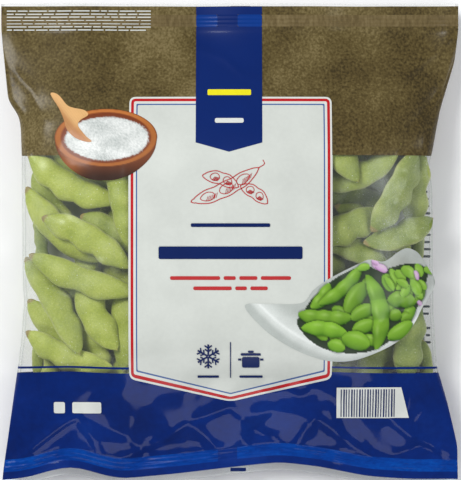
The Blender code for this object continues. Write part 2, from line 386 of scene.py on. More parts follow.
def makeMesh(name, points, faces, material=None, masks=None, smooth=True):
    mesh = bpy.data.meshes.new(name)
    mesh.from_pydata([tuple(map(float, point)) for point in points], [], faces)
    if masks is not None:
        attribute = mesh.color_attributes.new("look", "FLOAT_COLOR", "POINT")
        attribute.data.foreach_set("color", np.asarray(masks, dtype=np.float32).ravel())
    if smooth:
        mesh.shade_smooth()
    piece = bpy.data.objects.new(name, mesh)
    bpy.context.scene.collection.objects.link(piece)
    if material:
        mesh.materials.append(material)
    return piece


def faceOutwards(piece):
    shape = bmesh.new()
    shape.from_mesh(piece.data)
    bmesh.ops.recalc_face_normals(shape, faces=shape.faces)
    shape.to_mesh(piece.data)
    shape.free()


def cadPoints(node):
    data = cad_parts[node].data
    points = np.empty(len(data.vertices) * 3, np.float32)
    data.vertices.foreach_get("co", points)
    return np.unique(np.round(points.reshape(-1, 3), 6), axis=0).astype(float)


def poseFromFrame(node, chance):
    # the spine, bow, width and depth of a plain CAD pod
    points = cadPoints(node)
    middle = points.mean(axis=0)
    along = np.linalg.eigh(np.cov((points - middle).T))[1][:, -1]
    reach = (points - middle) @ along
    ends = points[np.argmin(reach)], points[np.argmax(reach)]
    centre = (ends[0] + ends[1]) / 2
    along = (ends[1] - ends[0]) / np.linalg.norm(ends[1] - ends[0])
    length = np.linalg.norm(ends[1] - ends[0])
    place = (points - centre) @ along
    waist = points[np.abs(place) < 0.06 * length]
    bow = waist.mean(axis=0) - centre
    aside = np.linalg.norm(points - centre - np.multiply.outer(place, along), axis=1)
    nearStart = aside[(place < -0.3 * length) & (place > -0.49 * length)].mean()
    nearEnd = aside[(place > 0.3 * length) & (place < 0.49 * length)].mean()
    if nearStart < nearEnd:
        ends = ends[::-1]
        along = -along
    spread = waist - waist.mean(axis=0)
    side = np.linalg.eigh(np.cov(spread.T))[1][:, -1]
    side -= along * (side @ along)
    side /= np.linalg.norm(side)
    up = np.cross(along, side)
    width = 2 * np.abs(spread @ side).max()
    depth = 2 * np.abs(spread @ up).max()
    bend = bow - bow @ along * along
    # tips near the left edge reach out to it
    ends = [end.copy() for end in ends]
    for end in ends:
        if end[0] < podLook["edgeFrom"]:
            end[0] = max(end[0] - podLook["edgeShift"], -podLook["edgeMost"])
    # those under the right window are darker: painted shade, standing in for the shadow over that window
    if centre[0] > 0:
        tone = chance.uniform(0.62, 1.0)
    else:
        tone = chance.uniform(0, 0.4) + 0.5 * (chance.uniform() < 0.22)
    width *= podLook["plump"]
    return PodPose(*ends, bend, side, up, width, depth, tone, int(chance.integers(2, 4)))


# The pods behind the front ones, laid one by one against those before them

heapLook = {"seed": 11, "tries": 800, "cell": 0.001, "clearance": 0.0006, "filmRoom": 0.0013}


def gridPlaces(grid, places):
    column = np.rint((places[..., 0] - grid["x"][0]) / heapLook["cell"]).astype(int)
    row = np.rint((places[..., 1] - grid["y"][0]) / heapLook["cell"]).astype(int)
    return np.clip(row, 0, len(grid["y"]) - 1), np.clip(column, 0, len(grid["x"]) - 1)


def firstHits(tree, places, start, towards):
    found = np.full(len(places), np.nan)
    for index, (x, y) in enumerate(places):
        hit = tree.ray_cast(Vector((x, y, start)), Vector((0, 0, towards)))[0]
        if hit is not None:
            found[index] = hit.z
    return found


def heightsOver(tree, grid, start, towards, places="flatY"):
    pairs = np.stack((grid["flatX"].ravel(), grid[places].ravel()), axis=-1)
    return firstHits(tree, pairs, start, towards).reshape(grid["flatX"].shape)


def treeOf(pieces):
    points, faces = [], []
    for piece in pieces:
        first = len(points)
        points += [vertex.co.copy() for vertex in piece.data.vertices]
        faces += [[first + index for index in face.vertices] for face in piece.data.polygons]
    return BVHTree.FromPolygons(points, faces)


def flatHeight(x, y):
    # how far up the flat film a point lies whose place up the bag is known
    v = y
    for _ in range(6):
        v = y - lowerWave(x) * waveShare(v)
    return v


def emptyGrid():
    step = heapLook["cell"]
    grid = {"x": np.arange(-0.144, 0.144 + step, step), "y": np.arange(-0.152, 0.152 + step, step)}
    x, y = np.meshgrid(grid["x"], grid["y"])
    grid["inside"] = (x > -leftReach(y) + 0.001) & (x < rightReach(y) - 0.001)
    grid["film"] = frontHeight(x, y) - looseRise(x, y)
    v = flatHeight(x, y)
    grid["roof"] = frontHeight(x, v) - looseRise(x, v)
    grid["floor"] = backHeight(x, v) - looseRise(x, v) + 0.0012
    grid["flatX"], grid["flatY"] = x, y
    grid["trueY"] = y + lowerWave(x) * waveShare(y)  # where the hem's wave takes each point
    return grid


def layInnerPods(grid, frontPods):
    chance = np.random.default_rng(heapLook["seed"])
    under = heightsOver(treeOf(frontPods), grid, -0.1, 1)
    ceiling = np.where(grid["inside"], grid["roof"] - heapLook["filmRoom"], -1.0)
    ceiling = np.fmin(ceiling, under)
    share, side = np.meshgrid(np.linspace(-1, 1, 31), np.linspace(-1, 1, 9))
    fineShare, fineSide = np.meshgrid(np.linspace(-1, 1, 121), np.linspace(-1, 1, 31))
    tips = [(pitch, roll) for pitch in np.linspace(-0.6, 0.6, 17) for roll in np.linspace(-0.5, 0.5, 7)]
    poses = []

    def flat(length, bow, width, share, side):
        full = podFullness(share)
        return share * length / 2, bow * (1 - share**2) + side * full * width / 2, full

    for attempt in range(heapLook["tries"]):
        # the first ones go where the windows and the clear sides show them
        kind = ("side", "window", "side", "window", "middle")[attempt % 5]
        reach = {"side": (0.111, 0.1225), "window": (0.060, 0.112), "middle": (0, 0.058)}[kind]
        x = chance.uniform(*reach) * chance.choice((-1, 1))
        y = chance.uniform(-0.098, 0.090)
        turn = chance.uniform(0, 2 * math.pi)
        if kind == "side":
            y = chance.uniform(-0.074, 0.056)
            turn = math.pi / 2 * chance.choice((-1, 1)) + chance.uniform(-0.16, 0.16)
        length, width = chance.uniform(0.046, 0.062), chance.uniform(0.0125, 0.0152)
        if kind == "side":
            length, width = chance.uniform(0.028, 0.042), chance.uniform(0.0078, 0.0108)
        depth, bow = width * chance.uniform(0.54, 0.70), width * podLook["innerBow"] * chance.choice((-1, 1))
        along, left = np.array((math.cos(turn), math.sin(turn))), np.array((-math.sin(turn), math.cos(turn)))

        def placesOf(forward, aside):
            return np.array((x, y)) + np.multiply.outer(forward, along) + np.multiply.outer(aside, left)

        forward, aside, full = flat(length, bow, width, share, side)
        halfDepth = full * depth / 2 * np.sqrt(1 - side**2)
        cells = gridPlaces(grid, placesOf(forward, aside))
        room = ceiling[cells] - halfDepth - heapLook["clearance"]
        heights = [(room - pitch * forward - roll * aside).min() for pitch, roll in tips]
        best = int(np.argmax(heights))
        level, (pitch, roll) = heights[best], tips[best]
        lowest = level + pitch * forward + roll * aside - halfDepth - grid["floor"][cells]
        if lowest.min() < 0.0008:
            continue
        forward, aside, full = flat(length, bow, width, fineShare, fineSide)
        bottom = level + pitch * forward + roll * aside - full * depth / 2 * np.sqrt(1 - fineSide**2)
        np.minimum.at(ceiling, gridPlaces(grid, placesOf(forward, aside)), bottom)
        direction = np.array((*along, pitch))
        start = np.array((x, y, level)) - direction * length / 2
        end = np.array((x, y, level)) + direction * length / 2
        aslant = np.array((*left, roll))
        aslant /= np.linalg.norm(aslant)
        upward = np.cross(direction / np.linalg.norm(direction), aslant)
        # pods behind lean to the deeper colours: partly random tone, partly painted shade in the gaps between
        # the front pods
        tone = chance.uniform(0.2, 1)
        beans = int(chance.integers(2, 4))
        poses.append(PodPose(start, end, aslant * bow, aslant, upward, width, depth, tone, beans))
    return poses


# Trees of Geometry Nodes, each baked into a plain mesh

def newTree(name, sockets):
    tree = bpy.data.node_groups.new(name, "GeometryNodeTree")
    tree.interface.new_socket("Geometry", in_out="INPUT", socket_type="NodeSocketGeometry")
    for label, kind in sockets:
        tree.interface.new_socket(label, in_out="INPUT", socket_type="NodeSocket" + kind)
    tree.interface.new_socket("Geometry", in_out="OUTPUT", socket_type="NodeSocketGeometry")
    return tree, tree.nodes.new("NodeGroupInput"), tree.nodes.new("NodeGroupOutput")


def readAttribute(tree, name, kind):
    node = addNode(tree, "GeometryNodeInputNamedAttribute", data_type=kind)
    node.inputs["Name"].default_value = name
    return node.outputs["Attribute"]


def instanceOf(tree, shape):
    node = tree.nodes.new("GeometryNodeObjectInfo")
    node.inputs["As Instance"].default_value = True
    tree.links.new(shape, node.inputs["Object"])
    return node.outputs["Geometry"]


def podHeapTree():
    # one of two pods on each point, turned, stretched and toned as the point says, the tone carrying painted
    # shade
    sockets = [("Two beans", "Object"), ("Three beans", "Object"), ("Finish", "Material")]
    tree, given, made = newTree("pod_heap", sockets)
    link = tree.links.new
    shapes = tree.nodes.new("GeometryNodeJoinGeometry")
    for label in ("Two beans", "Three beans"):
        link(instanceOf(tree, given.outputs[label]), shapes.inputs[0])
    turned = tree.nodes.new("FunctionNodeEulerToRotation")
    link(readAttribute(tree, "turn", "FLOAT_VECTOR"), turned.inputs[0])
    stand = tree.nodes.new("GeometryNodeInstanceOnPoints")
    stand.inputs["Pick Instance"].default_value = True
    link(given.outputs["Geometry"], stand.inputs["Points"])
    link(shapes.outputs[0], stand.inputs["Instance"])
    link(readAttribute(tree, "kind", "INT"), stand.inputs["Instance Index"])
    link(turned.outputs[0], stand.inputs["Rotation"])
    link(readAttribute(tree, "stretch", "FLOAT_VECTOR"), stand.inputs["Scale"])
    real = tree.nodes.new("GeometryNodeRealizeInstances")
    link(stand.outputs[0], real.inputs[0])
    parts = tree.nodes.new("FunctionNodeSeparateColor")
    link(readAttribute(tree, "look", "FLOAT_COLOR"), parts.inputs[0])
    joined = tree.nodes.new("FunctionNodeCombineColor")
    link(readAttribute(tree, "tone", "FLOAT"), joined.inputs[0])
    for index in (1, 2, 3):
        link(parts.outputs[index], joined.inputs[index])
    stored = addNode(tree, "GeometryNodeStoreNamedAttribute", data_type="FLOAT_COLOR", domain="POINT")
    stored.inputs["Name"].default_value = "look"
    link(real.outputs[0], stored.inputs["Geometry"])
    link(joined.outputs[0], stored.inputs["Value"])
    finish = tree.nodes.new("GeometryNodeSetMaterial")
    link(stored.outputs[0], finish.inputs["Geometry"])
    link(given.outputs["Finish"], finish.inputs["Material"])
    link(finish.outputs[0], made.inputs[0])
    return tree


def frostTree():
    # small crystals on the sides of the pods that look up
    tree, given, made = newTree("frost", [("Crystal", "Object"), ("Finish", "Material"), ("Density", "Float"),
                                          ("Smallest", "Float"), ("Largest", "Float"), ("Seed", "Int")])
    link = tree.links.new
    normal = tree.nodes.new("GeometryNodeInputNormal")
    split = tree.nodes.new("ShaderNodeSeparateXYZ")
    link(normal.outputs[0], split.inputs[0])
    facing = addNode(tree, "FunctionNodeCompare", data_type="FLOAT", operation="GREATER_THAN")
    link(split.outputs[2], facing.inputs[0])
    facing.inputs[1].default_value = 0.3
    clumps = tree.nodes.new("ShaderNodeTexNoise")
    clumps.inputs["Scale"].default_value = 70.0
    most = addNode(tree, "ShaderNodeMapRange", clamp=True)
    for index, value in ((1, 0.48), (2, 0.66), (3, 0.08), (4, 1.0)):
        most.inputs[index].default_value = value
    link(clumps.outputs[0], most.inputs[0])
    density = addNode(tree, "ShaderNodeMath", operation="MULTIPLY")
    link(most.outputs[0], density.inputs[0])
    link(given.outputs["Density"], density.inputs[1])
    spread = tree.nodes.new("GeometryNodeDistributePointsOnFaces")
    link(given.outputs["Geometry"], spread.inputs["Mesh"])
    link(facing.outputs[0], spread.inputs["Selection"])
    link(density.outputs[0], spread.inputs["Density"])
    link(given.outputs["Seed"], spread.inputs["Seed"])
    sizes = addNode(tree, "FunctionNodeRandomValue", data_type="FLOAT")
    scalars = [socket for socket in sizes.inputs if socket.enabled and socket.type == "VALUE"]
    link(given.outputs["Smallest"], scalars[0])
    link(given.outputs["Largest"], scalars[1])
    stand = tree.nodes.new("GeometryNodeInstanceOnPoints")
    link(spread.outputs["Points"], stand.inputs["Points"])
    link(instanceOf(tree, given.outputs["Crystal"]), stand.inputs["Instance"])
    link(spread.outputs["Rotation"], stand.inputs["Rotation"])
    link([socket for socket in sizes.outputs if socket.enabled][0], stand.inputs["Scale"])
    real = tree.nodes.new("GeometryNodeRealizeInstances")
    link(stand.outputs[0], real.inputs[0])
    finish = tree.nodes.new("GeometryNodeSetMaterial")
    link(real.outputs[0], finish.inputs["Geometry"])
    link(given.outputs["Finish"], finish.inputs["Material"])
    link(finish.outputs[0], made.inputs[0])
    return tree


def bake(name, source, tree, values):
    modifier = source.modifiers.new(tree.name, "NODES")
    modifier.node_group = tree
    for item in tree.interface.items_tree:
        if item.item_type == "SOCKET" and item.in_out == "INPUT" and item.name in values:
            modifier[item.identifier] = values[item.name]
    graph = bpy.context.evaluated_depsgraph_get()
    mesh = bpy.data.meshes.new_from_object(source.evaluated_get(graph), depsgraph=graph)
    mesh.name = name
    source.modifiers.remove(modifier)
    piece = bpy.data.objects.new(name, mesh)
    bpy.context.scene.collection.objects.link(piece)
    print(name, len(mesh.polygons), "faces")
    return piece


def makeHeap(poses, skin):
    heap = makeMesh("heap_points", [(pose.start + pose.end) / 2 for pose in poses], [])
    turns, stretches = [], []
    for pose in poses:
        along = pose.end - pose.start
        length = np.linalg.norm(along)
        flip = 1 if pose.bow @ pose.side > 0 else -1
        axes = Matrix((along / length, pose.side * flip, pose.up * flip)).transposed()
        turns += list(axes.to_euler())
        stretches += [length, pose.width, pose.depth]
    for name, kind, field, values in (
        ("turn", "FLOAT_VECTOR", "vector", turns),
        ("stretch", "FLOAT_VECTOR", "vector", stretches),
        ("tone", "FLOAT", "value", [pose.tone for pose in poses]),
        ("kind", "INT", "value", [pose.beans - 2 for pose in poses]),
    ):
        heap.data.attributes.new(name, kind, "POINT").data.foreach_set(field, values)
    shapes = {}
    for label, beans in (("Two beans", 2), ("Three beans", 3)):
        pose = PodPose(np.array((-0.5, 0, 0)), np.array((0.5, 0, 0)), np.array((0, podLook["innerBow"], 0)),
                       np.array((0, 1, 0)), np.array((0, 0, 1)), 1, 1, 0, beans)
        points, masks = podSurface(pose, podLook["innerRings"], podLook["innerSides"])
        faces = podFaces(podLook["innerRings"], podLook["innerSides"])
        shapes[label] = makeMesh("plain_pod", points, faces, skin, masks)
    piece = bake("heap", heap, podHeapTree(), {**shapes, "Finish": skin})
    for spare in (heap, *shapes.values()):
        bpy.data.objects.remove(spare)
    return piece


frostLook = {"Density": 50000.0, "Smallest": 0.00010, "Largest": 0.00034, "Seed": 7}


def makeFrost(pods):
    points, faces = [], []
    for pod in pods:
        first = len(points)
        points += [tuple(vertex.co) for vertex in pod.data.vertices]
        faces += [[first + index for index in face.vertices] for face in pod.data.polygons]
    surface = makeMesh("frosted_surface", points, faces)
    tips = [(1, 0, 0), (-1, 0, 0), (0, 1, 0), (0, -1, 0), (0, 0, 0.8), (0, 0, -0.8)]
    sides = [(0, 2, 4), (2, 1, 4), (1, 3, 4), (3, 0, 4), (2, 0, 5), (1, 2, 5), (3, 1, 5), (0, 3, 5)]
    ice = newMaterial("frost", Base_Color=tint(236, 240, 226), Roughness=0.35)
    crystal = makeMesh("crystal", tips, sides, ice, smooth=False)
    piece = bake("frost_crystals", surface, frostTree(), {"Crystal": crystal, "Finish": ice, **frostLook})
    for spare in (surface, crystal):
        bpy.data.objects.remove(spare)
    return piece


# How the front film lies on the pods

drapeLook = {
    "gap": 0.0004,
    "sink": 0.0042,
    "rounds": 160,
    # spacing across and along, depth, and seed of each size of crumple
    "lowerFacets": (0.017, 0.015, 0.0021, 3),
    "upperFacets": (0.026, 0.024, 0.0010, 5),
    "sideFacets": (0.012, 0.016, 0.0010, 6),
    "labelFacets": (0.030, 0.030, 0.0007, 8),
    "windowFacets": (0.0065, 0.0080, 0.00030, 9),
    # route of each sharp fold, its reach and its height, in millimetres
    "folds": [
        ([(-139, -135), (-112, -121), (-93, -110)], 2.2, 2.0),
        ([(-93, -110), (-84, -122), (-80, -131)], 2.0, 1.8),
        ([(-93, -110), (-64, -117), (-50, -131)], 2.5, -1.3),
        ([(-66, -131), (-36, -119), (-25, -112), (-8, -131)], 2.4, 1.7),
        ([(-25, -112), (0, -104), (18, -124), (30, -133)], 2.6, -1.4),
        ([(40, -133), (52, -112), (74, -126), (92, -133)], 2.4, 1.6),
        ([(139, -128), (112, -118), (96, -106)], 2.2, 1.8),
        ([(100, -131), (116, -122), (137, -136)], 2.0, -1.4),
        ([(139, 127), (118, 110), (95, 91), (80, 76)], 3.4, 1.7),
        ([(128, 92), (110, 70), (104, 54)], 2.2, -1.1),
        ([(-139, 110), (-122, 92), (-114, 74)], 2.4, 1.1),
        ([(-22, 118), (-4, 112), (8, 101), (22, 96)], 1.8, 0.8),
        ([(-108, 19), (-96, 11), (-82, 3)], 0.9, 0.8),
        ([(-86, 6), (-80, -8), (-74, -12)], 0.9, -0.6),
        ([(-127, -38), (-112, -30), (-98, -36)], 1.4, 0.9),
        ([(-127, -38), (-116, -46), (-106, -60)], 1.3, 0.8),
        ([(121, 46), (108, 36), (100, 22)], 1.4, 0.8),
        ([(124, -20), (114, -30), (108, -46)], 1.3, 0.7),
        ([(62, -140), (66, -120), (60, -106)], 2.0, 1.1),
    ],
}


def facets(grid, across, along, depth, seed):
    # flat facets with sharp edges between scattered points, as in crumpled film
    chance = np.random.default_rng(seed)
    x, y = np.meshgrid(np.arange(-0.16, 0.161, across), np.arange(-0.168, 0.169, along))
    x = x + chance.uniform(-0.38, 0.38, x.shape) * across + across / 2 * (np.arange(len(x)) % 2)[:, None]
    y = y + chance.uniform(-0.38, 0.38, y.shape) * along
    flat = [Vector((float(a), float(b))) for a, b in zip(x.ravel(), y.ravel())]
    heights = chance.uniform(-depth, depth, len(flat))
    points, _, faces = delaunay_2d_cdt(flat, [], [], 0, 1e-6)[:3]
    tree = BVHTree.FromPolygons([Vector((p.x, p.y, heights[i])) for i, p in enumerate(points)], faces)
    return np.nan_to_num(heightsOver(tree, grid, 1, -1))


def foldLine(grid, route, reach, height):
    route = np.array(route) * mm
    nearest = np.full(grid["flatX"].shape, 1.0)
    for first, second in zip(route[:-1], route[1:]):
        step = second - first
        share = ((grid["flatX"] - first[0]) * step[0] + (grid["flatY"] - first[1]) * step[1]) / (step @ step)
        share = np.clip(share, 0, 1)
        awayX = grid["flatX"] - first[0] - share * step[0]
        awayY = grid["flatY"] - first[1] - share * step[1]
        away = np.hypot(awayX, awayY)
        nearest = np.minimum(nearest, away)
    return height * mm * np.exp(-nearest / (reach * mm))


def layFilm(grid, allPods):
    # the film settles on the pods, then takes its folds and crumples, and stays clear of the pods
    x, y = grid["flatX"], grid["flatY"]
    tops = heightsOver(treeOf(allPods), grid, 0.2, -1, "trueY")
    least = np.where(np.isnan(tops), -1, tops + drapeLook["gap"]) - grid["film"] - looseRise(x, y)
    share = sideShare(x, y)
    free = grid["inside"] & (share < 0.985) & (np.abs(y) < 0.122)
    low = -drapeLook["sink"] * smoothstep((1 - share) / 0.12) * smoothstep((0.122 - np.abs(y)) / 0.03)
    height = grid["film"].copy()
    for _ in range(drapeLook["rounds"]):
        around = sum(np.roll(height, by, axis) for axis in (0, 1) for by in (1, -1)) / 4
        wanted = np.maximum(np.maximum(around, grid["film"] + least), grid["film"] + low)
        height = np.where(free, wanted, height)
    drape = height - grid["film"]
    ends = smoothstep((-y - 0.078) / 0.016) * smoothstep((y + 0.139) / 0.008)
    upper = smoothstep((y - 0.070) / 0.030) * smoothstep((0.142 - y) / 0.008)
    sides = smoothstep((share - 0.80) / 0.1) * smoothstep((1 - share) / 0.05)
    sides = sides * smoothstep((0.1 - np.abs(y)) / 0.02)
    window = smoothstep((share - 0.50) / 0.02) * smoothstep((0.055 - y) / 0.01)
    window = window * smoothstep((y + 0.078) / 0.01)
    calm = smoothstep((1 - share) / 0.06)
    folded = facets(grid, *drapeLook["lowerFacets"]) * ends + facets(grid, *drapeLook["upperFacets"]) * upper
    folded += facets(grid, *drapeLook["sideFacets"]) * sides
    folded += facets(grid, *drapeLook["labelFacets"]) * (1 - np.maximum(ends, upper))
    folded += facets(grid, *drapeLook["windowFacets"]) * window
    for route, reach, foldHeightMm in drapeLook["folds"]:
        folded += foldLine(grid, [(a, b + bag["artUp"] / mm) for a, b in route], reach, foldHeightMm)
    drape = blurred(drape, 1) + blurred(folded, 1) * calm
    clear = np.where(free, np.maximum(drape, least), drape)
    grid["drape"] = np.where(np.abs(y) > 0.125, np.maximum(clear, -0.0018), clear)


def drapeAt(grid, x, y):
    column = np.clip((x - grid["x"][0]) / heapLook["cell"], 0, len(grid["x"]) - 1.001)
    row = np.clip((y - grid["y"][0]) / heapLook["cell"], 0, len(grid["y"]) - 1.001)
    left, low = column.astype(int), row.astype(int)
    a, b = column - left, row - low
    field = grid["drape"]
    lower = field[low, left] * (1 - a) + field[low, left + 1] * a
    higher = field[low + 1, left] * (1 - a) + field[low + 1, left + 1] * a
    return lower * (1 - b) + higher * b


def crimp(v):
    # the pressed lines of both end seals, by height on the print
    flat = (v - bag["artUp"]) / mm
    upper = smoothstep((flat - upperSeal[0]) / 0.8) * smoothstep((upperSeal[1] - flat) / 0.8)
    lower = smoothstep((flat - lowerSeal[0]) / 0.8) * smoothstep((lowerSeal[1] - flat) / 0.8)
    return 0.0002 * (upper * np.cos(flat * 2 * math.pi / 2.4) + lower * np.cos(flat * 2 * math.pi / 2.9))


def frontPoints(grid, x, v, lift=0.0):
    x, v = np.asarray(x, float), np.asarray(v, float)

    def height(a, b):
        return frontHeight(a, b) + drapeAt(grid, a, b) + crimp(b)

    z = height(x, v)
    y = v + lowerWave(x) * waveShare(v)
    if lift:
        step = 0.0004
        slopeX = (height(x + step, v) - height(x - step, v)) / (2 * step)
        slopeY = (height(x, v + step) - height(x, v - step)) / (2 * step)
        slopeX, slopeY = np.nan_to_num(np.clip(slopeX, -3, 3)), np.clip(slopeY, -3, 3)
        size = np.sqrt(1 + slopeX**2 + slopeY**2)
        x, y, z = x - slopeX / size * lift, y - slopeY / size * lift, z + lift / size
    return np.stack((x, y, z), axis=-1)


def backPoints(grid, x, v):
    x, v = np.asarray(x, float), np.asarray(v, float)
    sealed = smoothstep((np.abs(v) - 0.1215) / 0.0055)
    z = np.maximum(backHeight(x, v) + (drapeAt(grid, x, v) + crimp(v)) * sealed, bag["backLeast"])
    overFin = smoothstep((x + 0.002) / 0.002) * smoothstep((bag["finWidth"] + 0.002 - x) / 0.002)
    z = z + bag["finRoom"] * overFin * np.clip(thickness(v) / 0.02, 0, 1)
    y = v + lowerWave(x) * waveShare(v)
    return np.stack((x, y, z), axis=-1)


# The web of film, closed at its hems, with the print in bands across it

filmLook = {
    "labelColumn": 0.00118,
    "outerColumns": 62,
    "backShares": (0, 0.1, 0.2, 0.3, 0.42, 0.54, 0.66, 0.76, 0.84, 0.90, 0.94, 0.97, 0.99),
    # heights on the print, and the spacing of rows up to each, in millimetres
    "rows": [(-147.8, 0), (hems[0], 1.5), (lowerSeal[0], 1.0), (lowerSeal[1], 0.6), (navyTo, 1.15),
             (navyLine[0], 1.2), (navyLine[1], 0.65), (brownFrom, 1.25), (upperSeal[0], 1.2),
             (upperSeal[1], 0.6), (hems[1], 0.9), (145.8, 0.8)],
}
clearName, brownName, navyName, sealName, sealBrownName, panelName = (
    "clear_film", "brown_print", "navy_print", "navy_seal", "brown_seal", "pale_print")


def rowPlaces():
    places = [filmLook["rows"][0][0]]
    for (low, _), (high, spacing) in zip(filmLook["rows"][:-1], filmLook["rows"][1:]):
        places += list(np.linspace(low, high, max(round((high - low) / spacing), 1) + 1)[1:])
    return np.array(places) * mm + bag["artUp"]


def easedSide(share, y, side):
    reach = leftReach(y) if side < 0 else rightReach(y)
    return side * (bag["labelHalf"] + (1 - (1 - share) ** bag["sideEasing"]) * (reach - bag["labelHalf"]))


def frontBand(flat, across):
    # what is printed at a height on the print, and a share of the way from the label to the fold
    if flat > hems[1] or flat < hems[0]:
        return clearName
    if upperSeal[0] < flat < upperSeal[1] and across < 0.97:
        return sealBrownName
    if flat > brownFrom:
        return brownName
    if lowerSeal[0] < flat < lowerSeal[1] and across < 0.96:
        return sealName
    if flat < navyTo or navyLine[0] < flat < navyLine[1]:
        return navyName
    return clearName


def backBand(flat, share, side):
    if flat > hems[1] or flat < hems[0]:
        return clearName
    if flat > brownFrom:
        return brownName
    if flat < navyTo:
        return navyName
    return panelName if share < (0.95 if side > 0 else 0.9) else clearName


def makeFilm(grid, materials):
    rows = rowPlaces()
    outer = np.linspace(0, 1, filmLook["outerColumns"] + 1)
    columns = round(2 * bag["labelHalf"] / filmLook["labelColumn"])
    middle = np.linspace(-bag["labelHalf"], bag["labelHalf"], columns + 1)
    backShares = np.array(filmLook["backShares"])
    backFine = np.interp(np.arange(0, len(backShares) - 0.5, 0.4), np.arange(len(backShares)), backShares)
    backFine = backFine[backFine < 0.995]
    points, frontCount = [], len(outer) * 2 + len(middle) - 2
    for y in rows:
        level = np.full(1, y)
        left = easedSide(outer[::-1], level, -1)
        right = easedSide(outer, level, 1)
        across = np.concatenate((left[:-1], middle, right[1:]))
        front = frontPoints(grid, across, np.full(across.shape, y))
        backX = np.concatenate((backFine[::-1] * rightReach(level), -backFine[1:] * leftReach(level)))
        back = backPoints(grid, backX, np.full(backX.shape, y))
        points.append(np.concatenate((front, back)))
    around = len(points[0])
    faces, slots = [], []
    names = list(materials)
    edgeShares = np.concatenate((outer[:0:-1], np.zeros(len(middle)), outer[1:]))
    backEdge = np.concatenate((backFine[::-1], backFine[1:]))
    for row in range(len(rows) - 1):
        flat = ((rows[row] + rows[row + 1]) / 2 - bag["artUp"]) / mm
        for column in range(around):
            after = (column + 1) % around
            low, high = row * around, (row + 1) * around
            faces.append((low + column, low + after, high + after, high + column))
            if column < frontCount - 1:
                name = frontBand(flat, max(edgeShares[column], edgeShares[column + 1]))
                middleX = (across[column] + across[after]) / 2
                if name == sealName and bag["sealGap"][0] < middleX < bag["sealGap"][1]:
                    name = navyName
                behindLabel = max(edgeShares[column : column + 2]) == 0
                if name == clearName and navyLine[1] < flat < brownFrom and behindLabel:
                    name = panelName
            else:
                place = min(column - frontCount + 1, len(backEdge) - 1)
                name = backBand(flat, backEdge[place], 1 if place < len(backFine) else -1)
            slots.append(names.index(name))
    # each hem, closed between the two layers
    for row, turned in ((0, True), (len(rows) - 1, False)):
        ring = [row * around + column for column in range(around)]
        front, back = ring[:frontCount], [ring[0], *ring[:frontCount - 1:-1], ring[frontCount - 1]]
        a = b = 0
        place = np.concatenate(points)[:, 0]
        while a < len(front) - 1 or b < len(back) - 1:
            ahead = a < len(front) - 1 and (b == len(back) - 1 or place[front[a + 1]] <= place[back[b + 1]])
            if ahead:
                triangle = (front[a], front[a + 1], back[b])
                a += 1
            else:
                triangle = (front[a], back[b + 1], back[b])
                b += 1
            if len(set(triangle)) == 3:
                faces.append(triangle if turned else triangle[::-1])
                slots.append(names.index(clearName))
    film = makeMesh("film", np.concatenate(points), faces)
    for material in materials.values():
        film.data.materials.append(material)
    film.data.polygons.foreach_set("material_index", slots)
    faceOutwards(film)
    print("film", len(film.data.polygons), "faces")
    return film


finLook = {"columns": 7, "rowStep": 0.8, "below": 0.00035, "rib": 0.0001, "ribSpacing": 2.4}


def makeFin(grid, materials):
    # the ribbed seal along the middle of the back, lying to one side
    low, high = filmLook["rows"][0][0] + 1, filmLook["rows"][-1][0] - 1
    heights = np.arange(low, high, finLook["rowStep"])
    across = np.linspace(0, bag["finWidth"], finLook["columns"])
    names, points, faces, slots = list(materials), [], [], []
    for flat in heights:
        v = np.full(across.shape, flat * mm + bag["artUp"])
        row = backPoints(grid, across, v)
        row[:, 2] -= finLook["below"] + finLook["rib"] * math.cos(flat * 2 * math.pi / finLook["ribSpacing"])
        points.append(row)
    for row in range(len(heights) - 1):
        for column in range(finLook["columns"] - 1):
            first = row * finLook["columns"] + column
            faces.append((first, first + finLook["columns"], first + finLook["columns"] + 1, first + 1))
            slots.append(names.index(backBand(heights[row], 0, 1)))
    fin = makeMesh("back_fin", np.concatenate(points), faces)
    for material in materials.values():
        fin.data.materials.append(material)
    fin.data.polygons.foreach_set("material_index", slots)
    return fin


# Finishes

def clearFilm():
    film = newMaterial(clearName, Base_Color=tint(214, 222, 216), Roughness=0.24, Metallic=0.35, Alpha=0.1)
    tree = film.node_tree
    shader = tree.nodes["Principled BSDF"]
    grazing = addNode(tree, "ShaderNodeLayerWeight", Blend=0.28)
    veil = useMottle(tree, Coarse_scale=46, Fine_scale=700, Fine_share=0.22, Stretch=0.55)
    total = addNode(tree, "ShaderNodeMath", operation="ADD")
    tree.links.new(mapRange(tree, grazing.outputs["Facing"], To_Min=0.055, To_Max=0.42), total.inputs[0])
    frosted = mapRange(tree, veil.outputs["Mask"], From_Min=0.52, From_Max=0.72, To_Min=0, To_Max=0.10)
    tree.links.new(frosted, total.inputs[1])
    tree.links.new(total.outputs[0], shader.inputs["Alpha"])
    return film


